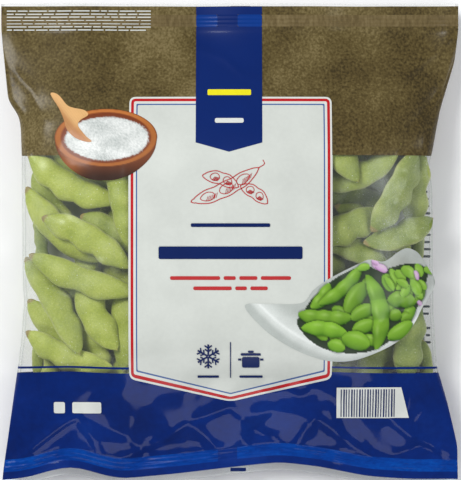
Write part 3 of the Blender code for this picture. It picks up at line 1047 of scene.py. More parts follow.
def printFinishes():
    brown = newMaterial(brownName, Roughness=0.6, Specular_IOR_Level=0.12, Coat_Weight=0.26,
                        Coat_Roughness=0.2)
    addMottle(brown, [(0.36, tint(56, 46, 22)), (0.46, tint(82, 69, 36)), (0.54, tint(98, 85, 49)),
                      (0.66, tint(124, 110, 73))],
              Coarse_scale=24, Fine_scale=680, Fine_share=0.5, Stretch=0.85, Bump=0.00005)
    sealBrown = newMaterial(sealBrownName, Roughness=0.55, Specular_IOR_Level=0.15, Coat_Weight=0.22,
                            Coat_Roughness=0.16)
    addMottle(sealBrown, [(0.30, tint(84, 70, 40)), (0.5, tint(106, 91, 58)), (0.75, tint(132, 117, 82))],
              Coarse_scale=38, Fine_scale=620, Fine_share=0.6, Stretch=0.3, Bump=0.00005)
    navy = newMaterial(navyName, Roughness=0.6, Specular_IOR_Level=0.08, Coat_Weight=0.16,
                       Coat_Roughness=0.06)
    addMottle(navy, [(0.35, tint(0, 28, 92)), (0.55, tint(0, 36, 110)), (0.7, tint(4, 44, 122))],
              Coarse_scale=26, Fine_scale=300, Fine_share=0.25, Bump=0.00003)
    seal = newMaterial(sealName, Roughness=0.5, Specular_IOR_Level=0.06, Coat_Weight=0.1, Coat_Roughness=0.16)
    addMottle(seal, [(0.35, tint(0, 44, 122)), (0.55, tint(0, 60, 146)), (0.7, tint(0, 74, 164))],
              Coarse_scale=60, Fine_scale=400, Fine_share=0.4, Stretch=2.2, Bump=0.00004)
    panel = newMaterial(panelName, Roughness=0.42, Coat_Weight=0.5, Coat_Roughness=0.12)
    addMottle(panel, [(0.3, tint(198, 202, 192)), (0.7, tint(212, 216, 206))],
              Coarse_scale=30, Fine_scale=260, Fine_share=0.3, Bump=0.00003)
    return {clearName: clearFilm(), brownName: brown, navyName: navy, sealName: seal,
            sealBrownName: sealBrown, panelName: panel}


def podSkin():
    skin = newMaterial("pod_skin", Roughness=0.55, Sheen_Weight=0.08, Sheen_Roughness=0.5)
    tree = skin.node_tree
    shader = tree.nodes["Principled BSDF"]
    masks = addNode(tree, "ShaderNodeAttribute", attribute_name="look")
    parts = tree.nodes.new("ShaderNodeSeparateColor")
    tree.links.new(masks.outputs["Color"], parts.inputs[0])
    mottled = useMottle(tree, Coarse_scale=95, Fine_scale=900, Fine_share=0.45, Bump=0.0006)
    pale = ramp(tree, [(0.32, tint(150, 166, 44)), (0.5, tint(174, 187, 62)), (0.66, tint(192, 201, 92))])
    deep = ramp(tree, [(0.32, tint(80, 102, 22)), (0.5, tint(104, 124, 36)), (0.66, tint(130, 146, 60))])
    for colours in (pale, deep):
        tree.links.new(mottled.outputs["Mask"], colours.inputs[0])
    # pale to deep by each pod's tone, which also carries painted shade under the right window and behind the
    # front pods
    colour = mixColour(tree, parts.outputs[0], pale.outputs[0], deep.outputs[0])
    beans = mapRange(tree, masks.outputs["Alpha"], To_Min=0, To_Max=0.16)
    colour = mixColour(tree, beans, colour, tint(206, 214, 128))
    seamShare = addNode(tree, "ShaderNodeMath", operation="MULTIPLY")
    seamShare.inputs[1].default_value = 0.45
    tree.links.new(parts.outputs[2], seamShare.inputs[0])
    colour = mixColour(tree, seamShare.outputs[0], colour, tint(206, 208, 150))
    colour = mixColour(tree, parts.outputs[1], colour, tint(146, 128, 66))
    # frost, where the fine grain is highest
    place = tree.nodes.new("ShaderNodeTexCoord")
    frost = addNode(tree, "ShaderNodeTexNoise", Scale=1500.0, Detail=2.0)
    tree.links.new(place.outputs["Object"], frost.inputs["Vector"])
    frosted = ramp(tree, [(0.64, (0, 0, 0, 1)), (0.80, (0.7, 0.7, 0.7, 1))])
    tree.links.new(frost.outputs[0], frosted.inputs[0])
    colour = mixColour(tree, frosted.outputs[0], colour, tint(226, 232, 196))
    tree.links.new(colour, shader.inputs["Base Color"])
    tree.links.new(mottled.outputs["Normal"], shader.inputs["Normal"])
    return skin


# Ink: every printed shape is a patch cut to its outline, laid on the film just over its face

inkLook = {"lift": 0.00016, "step": 0.00012}


def ellipse(middleX, middleY, radiusX, radiusY, count=48, start=0.0, end=360.0):
    turns = np.radians(np.linspace(start, end, count, endpoint=abs(end - start) < 360))
    return [(middleX + radiusX * math.cos(turn), middleY + radiusY * math.sin(turn)) for turn in turns]


def block(left, low, right, high):
    return [(left, low), (right, low), (right, high), (left, high)]


def rounded(outline, radius, steps=6):
    # an outline with its corners rounded off
    points = [np.array(point, float) for point in outline]
    result = []
    for before, corner, after in zip([points[-1], *points[:-1]], points, [*points[1:], points[0]]):
        inward, outward = before - corner, after - corner
        first = corner + inward * min(radius / np.linalg.norm(inward), 0.5)
        last = corner + outward * min(radius / np.linalg.norm(outward), 0.5)
        for share in np.linspace(0, 1, steps):
            bend = first * (1 - share) ** 2 + 2 * corner * share * (1 - share) + last * share**2
            result.append(tuple(bend))
    return result


def smoothLine(points, count, closed=False):
    # a curve through every point
    points = np.array(points, float)
    if closed:
        points = np.vstack((points[-1], points, points[:2]))
    else:
        points = np.vstack((2 * points[0] - points[1], points, 2 * points[-1] - points[-2]))
    result = []
    spans = len(points) - 3
    for place in np.linspace(0, spans, count, endpoint=not closed):
        index = min(int(place), spans - 1)
        t = place - index
        a, b, c, d = points[index : index + 4]
        square, cube = 2 * a - 5 * b + 4 * c - d, 3 * b - a - 3 * c + d
        result.append(0.5 * (2 * b + (c - a) * t + square * t**2 + cube * t**3))
    return [tuple(point) for point in result]


def onPrint(grid, points, lift):
    # places on the print, as seen from the front in millimetres, to places on the film
    flat = np.array(points, float) * mm
    x, y = flat[:, 0], flat[:, 1] + bag["artUp"]
    return frontPoints(grid, x, flatHeight(x, y), lift)


def onBack(grid, points, lift):
    # the same for the back, still as seen from the front
    flat = np.array(points, float) * mm
    x, y = flat[:, 0], flat[:, 1] + bag["artUp"]
    placed = backPoints(grid, x, y)
    placed[:, 2] -= lift
    return placed


def spaced(outline, step):
    result = []
    for first, second in zip(outline, [*outline[1:], outline[0]]):
        count = max(1, round(math.dist(first, second) / step))
        for share in np.arange(count) / count:
            result.append(tuple(a + (b - a) * share for a, b in zip(first, second)))
    return result


def insideOutline(outline, x, y):
    inside = np.zeros(x.shape, bool)
    for (ax, ay), (bx, by) in zip(outline, [*outline[1:], outline[0]]):
        crosses = (ay > y) != (by > y)
        with np.errstate(divide="ignore", invalid="ignore"):
            inside ^= crosses & (x < (bx - ax) * (y - ay) / (by - ay) + ax)
    return inside


class Ink:
    # gathers patches of one finish into one piece
    def __init__(self, name, material, level=0, side=onPrint):
        self.name, self.material, self.side = name, material, side
        self.lift = inkLook["lift"] + level * inkLook["step"]
        self.points, self.faces, self.paint = [], [], []

    def patch(self, grid, outline, step=1.3, paint=None):
        edge = spaced(outline, step)
        corners = np.array(edge)
        low, high = corners.min(axis=0), corners.max(axis=0)
        x, y = np.meshgrid(np.arange(low[0] + step * 0.37, high[0], step),
                           np.arange(low[1] + step * 0.41, high[1], step))
        inside = insideOutline(edge, x, y)
        x, y = x[inside], y[inside]
        if len(x):
            away = np.full(x.shape, 1e9)
            for a, b in edge:
                away = np.minimum(away, np.hypot(x - a, y - b))
            x, y = x[away > step * 0.55], y[away > step * 0.55]
        flat = [Vector((float(a), float(b))) for a, b in [*edge, *zip(x, y)]]
        loop = [(index, (index + 1) % len(edge)) for index in range(len(edge))]
        found = delaunay_2d_cdt(flat, loop, [list(range(len(edge)))], 1, 1e-5)
        self.add(grid, [(p.x, p.y) for p in found[0]], found[2], paint)

    def band(self, grid, outer, inner, closed=True):
        # between two outlines with the same number of points
        count = len(outer)
        faces = []
        for index in range(count if closed else count - 1):
            after = (index + 1) % count
            faces.append((index, after, count + after, count + index))
        self.add(grid, [*outer, *inner], faces, None)

    def line(self, grid, points, width, closed=False):
        points = np.array(points, float)
        ahead = np.roll(points, -1, axis=0) - np.roll(points, 1, axis=0)
        if not closed:
            ahead[0], ahead[-1] = points[1] - points[0], points[-1] - points[-2]
        size = np.linalg.norm(ahead, axis=1, keepdims=True)
        aside = np.stack((-ahead[:, 1], ahead[:, 0]), axis=-1) / np.maximum(size, 1e-9)
        widths = np.broadcast_to(np.asarray(width, float), (len(points),))[:, None]
        outer, inner = points - aside * widths / 2, points + aside * widths / 2
        self.band(grid, [tuple(p) for p in outer], [tuple(p) for p in inner], closed)

    def add(self, grid, flat, faces, paint):
        first = len(self.points)
        placed = self.side(grid, flat, self.lift)
        self.points += [tuple(point) for point in placed]
        corners = np.array(flat)
        for face in faces:
            a, b, c = (corners[index] for index in face[:3])
            turnsLeft = (b[0] - a[0]) * (c[1] - a[1]) - (b[1] - a[1]) * (c[0] - a[0]) > 0
            outwards = turnsLeft == (self.side is onPrint)
            self.faces.append([first + index for index in (face if outwards else face[::-1])])
        if paint is not None:
            self.paint += list(paint(corners[:, 0], corners[:, 1]))

    def finish(self):
        masks = np.array(self.paint) if self.paint else None
        piece = makeMesh(self.name, self.points, self.faces, self.material, masks)
        print(self.name, len(self.faces), "faces")
        return piece


def inkFinish(name, colour, roughness=0.45, coat=0.2):
    ink = newMaterial(name, Roughness=roughness, Specular_IOR_Level=0.12, Coat_Weight=coat,
                      Coat_Roughness=0.14)
    deeper, lighter = (tuple(part * share for part in colour[:3]) + (1,) for share in (0.93, 1.05))
    addMottle(ink, [(0.3, deeper), (0.7, lighter)],
              Coarse_scale=40, Fine_scale=400, Fine_share=0.3, Bump=0.00002)
    return ink


def pictureFinish():
    # colours are painted point by point
    ink = newMaterial("picture_ink", Roughness=0.45, Specular_IOR_Level=0.12, Coat_Weight=0.2,
                      Coat_Roughness=0.14)
    tree = ink.node_tree
    shader = tree.nodes["Principled BSDF"]
    painted = addNode(tree, "ShaderNodeAttribute", attribute_name="look")
    grain = useMottle(tree, Coarse_scale=160, Fine_scale=1400, Fine_share=0.5, Bump=0.00002)
    shade = ramp(tree, [(0.3, (0.90, 0.90, 0.90, 1)), (0.7, (1.06, 1.06, 1.06, 1))])
    tree.links.new(grain.outputs["Mask"], shade.inputs[0])
    colour = mixColour(tree, 1.0, painted.outputs["Color"], shade.outputs[0], "MULTIPLY")
    tree.links.new(colour, shader.inputs["Base Color"])
    tree.links.new(grain.outputs["Normal"], shader.inputs["Normal"])
    return ink


# Label: a tall panel with a pointed foot, framed by four lines

labelLook = {"half": 61.6, "top": 87.7, "corner": -84.0, "tip": -98.0, "radius": 4.0,
             "steps": (50, 50, 130, 95, 130),  # along each straight edge
             "frame": [("white_ink", 1.1), ("red_ink", 1.7), ("white_ink", 1.5), ("blue_ink", 0.8)]}


def labelOutline(inset):
    half, foot = labelLook["half"] - inset, inset * 1.06
    side, top = labelLook["corner"] + foot, labelLook["top"] - inset
    corners = [(-half, side), (0, labelLook["tip"] + foot), (half, side), (half, top), (-half, top)]
    bends = rounded(corners, max(labelLook["radius"] - inset, 0.8))
    result = []
    for index, count in enumerate(labelLook["steps"]):
        curve = bends[index * 6 : index * 6 + 6]
        after = bends[(index + 1) % 5 * 6]
        result += curve[:-1]
        for share in np.arange(count) / count:
            result.append(tuple(np.array(curve[-1]) * (1 - share) + np.array(after) * share))
    return result


def printLabel(grid, inks):
    inset = 0.0
    for name, width in labelLook["frame"]:
        inks[name].band(grid, labelOutline(inset), labelOutline(inset + width))
        inset += width
    inks["label_paper"].patch(grid, labelOutline(inset)[::2], 1.6)


# Navy ribbon from the upper edge down to a point, with two plain bars where a name would stand

ribbonLook = {"left": -21.1, "right": 19.3, "side": 59.5, "tip": 53.9, "seal": (131.7, 139.1), "top": 144.1}


def printRibbon(grid, inks):
    left, right = ribbonLook["left"], ribbonLook["right"]
    middle = (left + right) / 2
    low, high = ribbonLook["seal"]
    outline = [(left, ribbonLook["side"]), (middle, ribbonLook["tip"]), (right, ribbonLook["side"]),
               (right, low), (left, low)]
    inks["ribbon_blue"].patch(grid, outline, 1.2)
    inks["ribbon_blue"].patch(grid, block(left, high, right, ribbonLook["top"]), 0.8)
    gapLeft, gapRight = (side / mm for side in bag["sealGap"])
    inks["ribbon_seal"].patch(grid, rounded(block(left, low, gapLeft, high), 1.2), 0.6)
    inks["ribbon_seal"].patch(grid, rounded(block(gapRight, low, right, high), 1.2), 0.6)
    inks["ribbon_blue"].patch(grid, block(gapLeft, low, gapRight, high), 0.8)
    inks["yellow_ink"].patch(grid, rounded(block(-14, 88.6, 12.5, 92.2), 0.8))
    inks["white_top_ink"].patch(grid, rounded(block(-9.5, 71.5, 8, 74.4), 1.2))


# Line drawing of three crossed pods on the label, all in red strokes

def podStrokes(grid, ink, start, end, bow, width, beans):
    start, end = np.array(start, float), np.array(end, float)
    along = (end - start) / np.linalg.norm(end - start)
    aside = np.array((-along[1], along[0]))
    shares = np.linspace(-1, 1, 60)

    def at(share, side):
        swell = 1 + 0.16 * (beanBumps(np.array([share]), beans)[0] - 0.5)
        half = float(podFullness(np.array([share]))[0]) * width / 2 * swell
        spine = (start + end) / 2 + along * share * np.linalg.norm(end - start) / 2
        return spine + aside * (bow * (1 - share**2) + side * half)

    for side in (-1, 1):
        ink.line(grid, [at(share, side) for share in shares], 0.52)
    for place in {2: (-0.36, 0.34), 3: (-0.55, -0.02, 0.48)}[beans]:
        reach = 0.24 if beans == 2 else 0.19
        turns = np.linspace(0, 2 * math.pi, 28, endpoint=False)
        ring = [at(place + reach * math.cos(turn), 0.62 * math.sin(turn)) for turn in turns]
        ink.line(grid, ring, 0.42, closed=True)
        for step in range(7):
            offset = (step - 2) * 0.045
            ink.line(grid, [at(place + offset + 0.02 * k, -0.62 + 0.13 * k) for k in range(6)], 0.26)


def printDrawing(grid, inks):
    ink = inks["red_line"]
    podStrokes(grid, ink, (-24, 23.5), (17.5, 44.5), -2.5, 8.6, 3)
    podStrokes(grid, ink, (-17, 39.5), (5, 32.5), 1.8, 7.2, 2)
    podStrokes(grid, ink, (6, 33.5), (22.5, 22.5), 1.2, 7.0, 2)
    ink.line(grid, smoothLine([(17.5, 44.5), (20.5, 46.5), (19.6, 49)], 10), 0.45)


# Plain bars where words would stand, each row of them a little uneven like words

def wordBars(grid, ink, left, right, low, high, lengths, gap):
    scale = (right - left - gap * (len(lengths) - 1)) / sum(lengths)
    x = left
    for length in lengths:
        ink.patch(grid, rounded(block(x, low, x + length * scale, high), min((high - low) / 2.2, 1.2)), 1.2)
        x += length * scale + gap


def printWords(grid, inks):
    wordBars(grid, inks["navy_line"], -24, 24, 8.4, 10.6, (1,), 0)
    wordBars(grid, inks["navy_line"], -43.5, 43.5, -11.0, -3.4, (1,), 0)
    wordBars(grid, inks["red_line"], -36.5, 36.5, -23.6, -21.4, (10, 2.4, 3.6, 6), 2.2)
    wordBars(grid, inks["red_line"], -22.5, 22.5, -29.8, -27.6, (8, 2.4, 3.6), 2.2)
    wordBars(grid, inks["white_top_ink"], -108, -79, -105.4, -98.4, (1, 2.6), 4.5)
    wordBars(grid, inks["navy_line"], -20.0, -7.0, -83.0, -81.6, (1,), 0)
    wordBars(grid, inks["navy_line"], 5.4, 19.6, -83.0, -81.6, (1,), 0)
    chance = np.random.default_rng(2)
    for row in range(7):
        lengths = chance.uniform(1, 4, 11)
        high = 141.6 - row * 1.95
        wordBars(grid, inks["white_top_ink"], -137.6, -49 - 3 * (row == 6), high - 0.65, high, lengths, 0.9)


# Snowflake, pot and the line between them

def printIcons(grid, inks):
    ink = inks["navy_line"]
    middle = np.array((-13.5, -69.9))
    for arm in range(6):
        turn = math.radians(arm * 60 + 90)
        along, aside = np.array((math.cos(turn), math.sin(turn))), np.array((-math.sin(turn), math.cos(turn)))
        ink.line(grid, [middle + along * reach for reach in np.linspace(0.3, 7.3, 8)], 1.05)
        for place, length in ((2.9, 2.0), (5.0, 2.2)):
            for side in (-1, 1):
                tip = middle + along * (place + length * 0.75) + aside * side * length
                ink.line(grid, [middle + along * place, (middle + along * place + tip) / 2, tip], 0.85)
    ink.line(grid, [(0, y) for y in np.linspace(-83, -61.2, 16)], 0.6)
    ink.patch(grid, rounded(block(7.0, -76.8, 17.6, -70.2), 1.2))
    ink.patch(grid, rounded(block(6.2, -69.4, 18.4, -67.9), 0.5))
    ink.patch(grid, rounded(block(10.6, -67.6, 14.0, -66.4), 0.4), 0.8)
    ink.patch(grid, block(4.6, -72.4, 6.6, -71.2), 0.8)
    ink.patch(grid, block(18.0, -72.4, 20.0, -71.2), 0.8)
    ink.patch(grid, block(0, -141.4, 9.5, -139.2), 0.8)


# Stripes on a white patch, all of one pattern, where a code would stand

def printStripes(grid, inks):
    inks["white_top_ink"].patch(grid, [(64.7, -108.3), (109.2, -108.3), (104.2, -89.3), (64.7, -89.3)], 1.2)
    for stripe in range(21):
        left = 67.2 + stripe * 1.62
        inks["navy_line"].patch(grid, block(left, -107.6, left + 0.62 + 0.3 * (stripe % 3 == 1), -90.4), 1.1)


# Painted pictures: colours worked out point by point from simple shapes

def blend(colours, mask, colour):
    mask = np.clip(mask, 0, 1)[:, None]
    return colours * (1 - mask) + np.asarray(colour)[..., :3] * mask


def paintPod(colours, x, y, start, end, bow, width, beans, light, deep):
    start, end = np.array(start, float), np.array(end, float)
    length = np.linalg.norm(end - start)
    along = (end - start) / length
    aside = np.array((-along[1], along[0]))
    ahead = (x - (start[0] + end[0]) / 2) * along[0] + (y - (start[1] + end[1]) / 2) * along[1]
    share = ahead / (length / 2)
    off = (x - (start[0] + end[0]) / 2) * aside[0] + (y - (start[1] + end[1]) / 2) * aside[1]
    off = off - bow * (1 - share**2)
    inRange = np.abs(share) < 1
    inside = np.clip(share, -1, 1)
    bumps = hump(inside, 0, 0.8) if beans == 1 else beanBumps(inside, beans)
    full = np.clip(1 - np.abs(inside) ** 2.6, 0, 1) ** 0.5
    half = np.maximum(full * width / 2 * (0.88 + 0.14 * bumps), 1e-3)
    across = off / half
    edge = (1 - np.abs(across)) * half
    mask = np.clip(edge / 0.3 + 0.5, 0, 1) * inRange
    shadow = np.clip(edge / 1.3 + 1.0, 0, 1) * inRange * 0.6
    colours = blend(colours, shadow, tint(16, 34, 8))
    # lit from above and a little from the left
    towards = np.array((-0.42, 0.9))
    level = np.sqrt(np.clip(1 - across**2, 0, 1))
    rise = np.gradient(bumps) if beans == 1 else beanBumps(np.clip(inside + 0.04, -1, 1), beans) - bumps
    lit = 0.28 + 0.42 * level + 0.36 * across * (aside @ towards)
    lit = lit + 1.1 * rise * (along @ -towards) * (beans > 1)
    lit = np.clip(lit + 0.10 * (bumps - 0.6), 0, 1)
    body = np.array(deep)[None, :3] * (1 - lit[:, None]) + np.array(light)[None, :3] * lit[:, None]
    shine = hump(across, 0.45 * np.sign(aside @ towards), 0.2) * np.clip(bumps, 0, 1) ** 2 * 0.28
    body = blend(body, shine, tint(190, 222, 130))
    return blend(colours, mask, body)


dishLook = {
    "outline": [(8.7, -39.1), (24, -38.2), (43, -37.6), (50, -30), (58, -24), (68, -18.5), (77, -14.2),
                (84, -11.4), (92, -12.6), (97, -10.4), (101, -7.2), (107.1, -4.4), (113, -6.4),
                (117, -11), (121, -17.5), (125.2, -25.2), (121.5, -33), (116.5, -41), (112.5, -49),
                (107, -56.8), (98, -63.4), (86, -69), (74.3, -72.6), (64, -73.2), (54, -71.6),
                (42, -67.2), (30, -60.6), (19, -52.2)],
    "heap": [(44, -43), (50, -34), (60, -25), (72, -18), (82, -15), (90, -18), (98, -16), (106, -14),
             (114, -14), (120, -18), (119, -26), (115.5, -36), (111.5, -45), (106, -53), (98, -60),
             (88, -66), (78, -68), (64, -67.5), (52, -63), (44, -56), (40, -49)],
    # start, end, bow, width and beans of each pod, from the back of the heap to its front
    "pods": [
        ((60, -26), (49, -41), 1.5, 8, 2), ((93, -20.5), (98.5, -30.5), 0.8, 8.5, 1),
        ((103, -29), (110, -34), 1, 8, 1), ((86, -33), (93, -52), 1, 9, 2),
        ((62, -40), (70, -50), 1, 8, 1), ((82, -46), (90, -56), 1, 8, 1),
        ((111.5, -40), (106.5, -50), -1, 7, 1), ((104, -49), (110, -46), 1, 7, 1),
        ((48, -47), (58, -60), 1, 9, 1), ((60, -52), (66, -64), 1, 8, 1), ((76, -60), (92, -62), 1, 7, 1),
        ((104, -52), (96, -60), 1, 6, 1), ((84, -22), (76, -36), 1, 7, 1),
        ((98, -37), (92, -48), 1, 7, 1), ((116, -26), (113, -38), 1, 6, 1),
        ((79.5, -15.2), (53.5, -38.5), 2.6, 8.2, 3), ((81.5, -25.5), (70.2, -43.8), -0.6, 10.4, 1),
        ((95, -36), (112.6, -37.4), 1.2, 10.2, 2), ((96.2, -46.4), (104, -44.6), 0.5, 7.2, 1),
        ((40.8, -44.4), (73.6, -46.4), -1.6, 10, 3), ((95.4, -58.6), (110.4, -49.4), -1.0, 9.2, 1),
        ((73, -47.4), (87, -40.0), 0.6, 8.6, 1), ((74, -54.8), (87.6, -49.6), 0.4, 8.2, 1),
        ((43, -52.6), (71, -56.6), 1.4, 9.2, 2), ((59, -62.2), (69.4, -65.4), 0.4, 7.8, 1),
        ((67.5, -58.6), (84.2, -63.4), 0.8, 11, 1), ((82.6, -20.4), (88.6, -66.2), 5.4, 10.6, 3),
    ],
    "leaves": [((97, -17), (101, -26), 4.4), ((106, -22), (101, -30), 4.2), ((114, -24), (119, -30), 4.0),
               ((108, -18), (113, -27), 4.4), ((112, -31), (117, -35), 4.0), ((94, -22), (99, -30), 3.6),
               ((77, -17), (84.5, -15.5), 4.6), ((100, -18), (106, -24), 5),
               ((104, -16), (112, -22), 6.4), ((110, -24), (115, -33), 6), ((113, -14), (116, -22), 5),
               ((108, -26), (104, -34), 5.4), ((117.6, -17), (124.6, -19.6), 4.6),
               ((101, -24), (108, -28), 4.4)],
    "petals": [((86, -13), (90, -17.5), 3.6), ((88, -15), (95, -18.5), 4.4),
               ((85.4, -11.6), (89.5, -14), 3.0), ((112.2, -18), (114, -24), 2.6),
               ((113.6, -36.6), (116, -39.4), 2.6)],
}


def paintDish(x, y):
    # white china, darker inside under the hump and lighter along its rim
    rim = np.array(tint(214, 219, 214)[:3])
    inner = np.array(tint(176, 182, 176)[:3])
    colours = np.tile(rim, (len(x), 1))
    bowlLine = -66 + 27 * ((x - 70) / 52) ** 2
    colours = blend(colours, smoothstep((y - bowlLine - 1) / 14) * 0.9, inner)
    colours = blend(colours, 0.8 * hump(y - bowlLine, 0, 1.3), np.array(tint(238, 242, 238)[:3]))
    colours = blend(colours, smoothstep((bowlLine - y - 2.2) / 5) * 0.55, np.array(tint(150, 158, 152)[:3]))
    colours = blend(colours, 0.55 * hump(x, 103, 9) * hump(y, -16, 7), np.array(tint(150, 152, 140)[:3]))
    heap = insideOutline(smoothLine(dishLook["heap"], 90, closed=True), x, y)
    colours = blend(colours, heap * 0.96, tint(22, 44, 12))
    light, deep = np.array(tint(140, 190, 60)[:3]), np.array(tint(44, 96, 14)[:3])
    chance = np.random.default_rng(1)
    for start, end, bow, width, beans in dishLook["pods"]:
        warm = chance.uniform(0.72, 1.1)
        colours = paintPod(colours, x, y, start, end, bow, width, beans, light * warm, deep * warm)
    for start, end, width in dishLook["leaves"]:
        colours = paintPod(colours, x, y, start, end, 0.4, width, 1, tint(150, 196, 70), tint(92, 146, 44))
    for start, end, width in dishLook["petals"]:
        colours = paintPod(colours, x, y, start, end, 0.3, width, 1, tint(226, 196, 226), tint(158, 84, 158))
    return np.column_stack((colours, np.ones(len(x))))


bowlLook = {"middle": (-75.7, 62.6), "rim": (31.3, 17.6), "salt": (26.8, 13.8),
            "lower": [(-107, 62.6), (-105.4, 55), (-100.5, 47), (-92, 40.2), (-84, 37.2), (-76, 36.6),
                      (-68, 37.4), (-59, 41), (-50.5, 48), (-46, 55), (-44.4, 62.6)]}


def paintBowl(x, y):
    middleX, middleY = bowlLook["middle"]
    away = np.hypot((x - middleX) / bowlLook["rim"][0], (y - middleY) / bowlLook["rim"][1])
    wood, dark, rim = (np.array(tint(*c)[:3]) for c in ((112, 60, 34), (48, 30, 22), (182, 110, 54)))
    colours = np.tile(wood, (len(x), 1))
    below = np.clip((middleY - 12 - y) / 13, 0, 1)
    colours = blend(colours, smoothstep(below) * 0.95, dark)
    colours = blend(colours, 0.5 * hump(x, -97, 7) * hump(y, 47, 7), rim)
    inside = smoothstep((1.0 - away) / 0.03)
    colours = blend(colours, inside, rim * (0.82 + 0.25 * hump(y, middleY + 16, 8)[:, None]))
    hollow = smoothstep((0.90 - away) / 0.04)
    colours = blend(colours, hollow, np.array(tint(120, 58, 30)[:3]))
    chance = np.random.default_rng(3)
    mound = 0.62 + 0.38 * np.sin(x * 0.21 + 0.9 * np.sin(y * 0.35)) * np.cos(y * 0.31 + 0.4)
    grain = np.clip(0.55 * mound + 0.45 * chance.uniform(0, 1, len(x)), 0, 1)
    saltAway = np.hypot((x - middleX - 0.8) / bowlLook["salt"][0], (y - middleY + 0.6) / bowlLook["salt"][1])
    saltAway = saltAway + 0.10 * (grain - 0.5)
    shadow, salt = (np.array(tint(*c)[:3])[None, :] for c in ((158, 166, 162), (238, 240, 236)))
    pile = shadow * (1 - grain[:, None]) + salt * grain[:, None]
    colours = blend(colours, smoothstep((0.98 - saltAway) / 0.05), pile)
    return np.column_stack((colours, np.ones(len(x))))


scoopOutline = [(-109.8, 89.2), (-107.6, 90.2), (-104, 88), (-99.6, 82.6), (-95.4, 80.8), (-89, 79.4),
                (-86.6, 76.4), (-91, 73.4), (-92.6, 70), (-88, 63.8), (-84.2, 60.4), (-87.6, 60),
                (-94.5, 62.6), (-99.4, 67.6), (-101.4, 73.6), (-104.4, 80.4)]


def paintScoop(x, y):
    along = (np.array((-84, 60)) - np.array((-109, 90))) / 39.05
    ahead = (x + 109) * along[0] + (y - 90) * along[1]
    aside = -(x + 109) * along[1] + (y - 90) * along[0]
    pale, deep = np.array(tint(222, 176, 118)[:3]), np.array(tint(158, 98, 52)[:3])
    colours = np.tile(pale, (len(x), 1))
    colours = blend(colours, smoothstep((-aside + 0.4) / 4.5) * 0.75, deep)
    grain = 0.35 * (0.5 + 0.5 * np.sin(aside * 5 + ahead * 0.35))
    colours = blend(colours, grain, np.array(tint(196, 142, 84)[:3]))
    colours = blend(colours, smoothstep((ahead - 22) / 10) * 0.5, np.array(tint(170, 104, 58)[:3]))
    return np.column_stack((colours, np.ones(len(x))))


def printPictures(grid, inks):
    picture = inks["picture"]
    middleX, middleY = bowlLook["middle"]
    upper = ellipse(middleX, middleY, bowlLook["rim"][0], bowlLook["rim"][1], 40, 0, 180)
    lower = smoothLine(bowlLook["lower"], 50)
    picture.patch(grid, upper + lower[1:-1], 0.62, paintBowl)
    scoop = smoothLine(scoopOutline, 90, closed=True)
    inks["picture_top"].patch(grid, scoop, 0.62, paintScoop)
    picture.patch(grid, smoothLine(dishLook["outline"], 190, closed=True), 0.62, paintDish)


# Rows of plain bars on the back, in two columns, and a narrow one by the right edge

def printBack(grid, ink):
    chance = np.random.default_rng(6)
    for left, right, top, bottom in ((-108, -8, 40, -66), (22, 84, 40, -66), (100, 123.5, 44, -70)):
        for high in np.arange(top, bottom, -4.4):
            wordBars(grid, ink, left, right - chance.uniform(0, 0.2) * (right - left), high - 1.5, high,
                     chance.uniform(1, 4, max(round((right - left) / 9), 3)), 1.4)


def printFront(grid):
    inks = {
        "white_ink": Ink("white_ink", inkFinish("white_ink", tint(214, 217, 211))),
        "red_ink": Ink("red_ink", inkFinish("red_ink", tint(186, 28, 34))),
        "blue_ink": Ink("blue_ink", inkFinish("blue_ink", tint(70, 98, 152))),
        "label_paper": Ink("label_paper", inkFinish("label_paper", tint(206, 210, 203))),
        "ribbon_blue": Ink("ribbon_blue", inkFinish("ribbon_blue", tint(2, 34, 100), coat=0.15), 1),
        "ribbon_seal": Ink("ribbon_seal", inkFinish("ribbon_seal", tint(0, 52, 130), coat=0.2), 1),
        "yellow_ink": Ink("yellow_ink", inkFinish("yellow_ink", tint(232, 222, 30)), 2),
        "white_top_ink": Ink("white_top_ink", inkFinish("white_top_ink", tint(214, 217, 211)), 2),
        "red_line": Ink("red_line", inkFinish("red_line", tint(184, 50, 52)), 2),
        "navy_line": Ink("navy_line", inkFinish("navy_line", tint(6, 30, 86), coat=0.05), 3),
        "picture": Ink("picture", pictureFinish(), 2),
    }
    inks["picture_top"] = Ink("picture_top", inks["picture"].material, 4)
    for draw in (printLabel, printRibbon, printDrawing, printWords, printIcons, printStripes, printPictures):
        draw(grid, inks)
    inks["back_ink"] = Ink("back_ink", inks["navy_line"].material, 0, onBack)
    printBack(grid, inks["back_ink"])
    return [ink.finish() for ink in inks.values()]


# Building

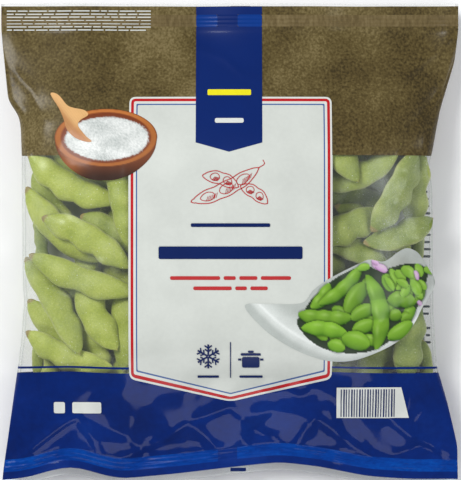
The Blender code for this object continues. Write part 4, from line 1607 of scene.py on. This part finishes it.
print("front pods")
chance = np.random.default_rng(4)
skin = podSkin()
cadPods = sorted(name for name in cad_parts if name.startswith("pod_"))
podPieces = []
for node in cadPods:
    pose = poseFromFrame(node, chance)
    points, masks = podSurface(pose, podLook["rings"], podLook["sides"])
    piece = makeMesh("soy" + node, points, podFaces(podLook["rings"], podLook["sides"]), skin, masks)
    faceOutwards(piece)
    podPieces.append(piece)
grid = emptyGrid()
print("inner pods")
innerPoses = layInnerPods(grid, podPieces)
print(len(innerPoses), "pods in the heap")
heap = makeHeap(innerPoses, skin)
print("frost")
frost = makeFrost(podPieces[:36])
print("film")
layFilm(grid, [*podPieces, heap])
finishes = printFinishes()
film = makeFilm(grid, finishes)
fin = makeFin(grid, finishes)

# Stage, light and camera

def makeStage():
    bpy.ops.mesh.primitive_plane_add(size=6, location=(0, 0, -0.0002))
    floor = bpy.context.object
    floor.name = "floor"
    floor.data.materials.append(newMaterial("pale_floor", Base_Color=tint(253, 253, 253), Roughness=0.9))
    return floor


def addSoftbox(name, place, size, power):
    light = bpy.data.lights.new(name, "AREA")
    light.shape = "RECTANGLE"
    light.size, light.size_y = size
    light.energy = power
    lamp = bpy.data.objects.new(name, light)
    bpy.context.scene.collection.objects.link(lamp)
    lamp.location = place
    lamp.rotation_euler = (-Vector(place)).to_track_quat("-Z", "Y").to_euler()
    return lamp


view = {"middle": (0.0, 0.0025, 0.02), "distance": 2.6, "seen": 0.2942, "sensor": 36}


def addCamera():
    camera = bpy.data.cameras.new("camera")
    camera.sensor_width = view["sensor"]
    camera.lens = view["sensor"] * (view["distance"] - view["middle"][2]) / view["seen"]
    holder = bpy.data.objects.new("camera", camera)
    bpy.context.scene.collection.objects.link(holder)
    holder.location = (view["middle"][0], view["middle"][1], view["distance"])
    bpy.context.scene.camera = holder


print("stage")
floor = makeStage()
addSoftbox("softbox_left", (-0.9, 0.7, 1.3), (0.7, 0.7), 22)
addSoftbox("softbox_right", (1.1, 0.2, 1.2), (0.5, 0.9), 8)
addSoftbox("softbox_low", (0.1, -1.3, 0.9), (0.9, 0.4), 5.5)
world = bpy.data.worlds.new("studio")
bpy.context.scene.world = world
bpy.context.scene.view_settings.view_transform = "Standard"
world.use_nodes = True
world.node_tree.nodes["Background"].inputs[0].default_value = (0.9, 0.93, 1.0, 1)
world.node_tree.nodes["Background"].inputs[1].default_value = 0.27
addCamera()

print("print")
printed = printFront(grid)
for piece in [*printed, fin]:
    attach(piece, "root")
for piece, node in zip(podPieces, cadPods):
    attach(piece, "root")
    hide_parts(node)
for piece in (heap, frost):
    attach(piece, "root")
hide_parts("inner_pods")
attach(film, "root")
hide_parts("bag_film")
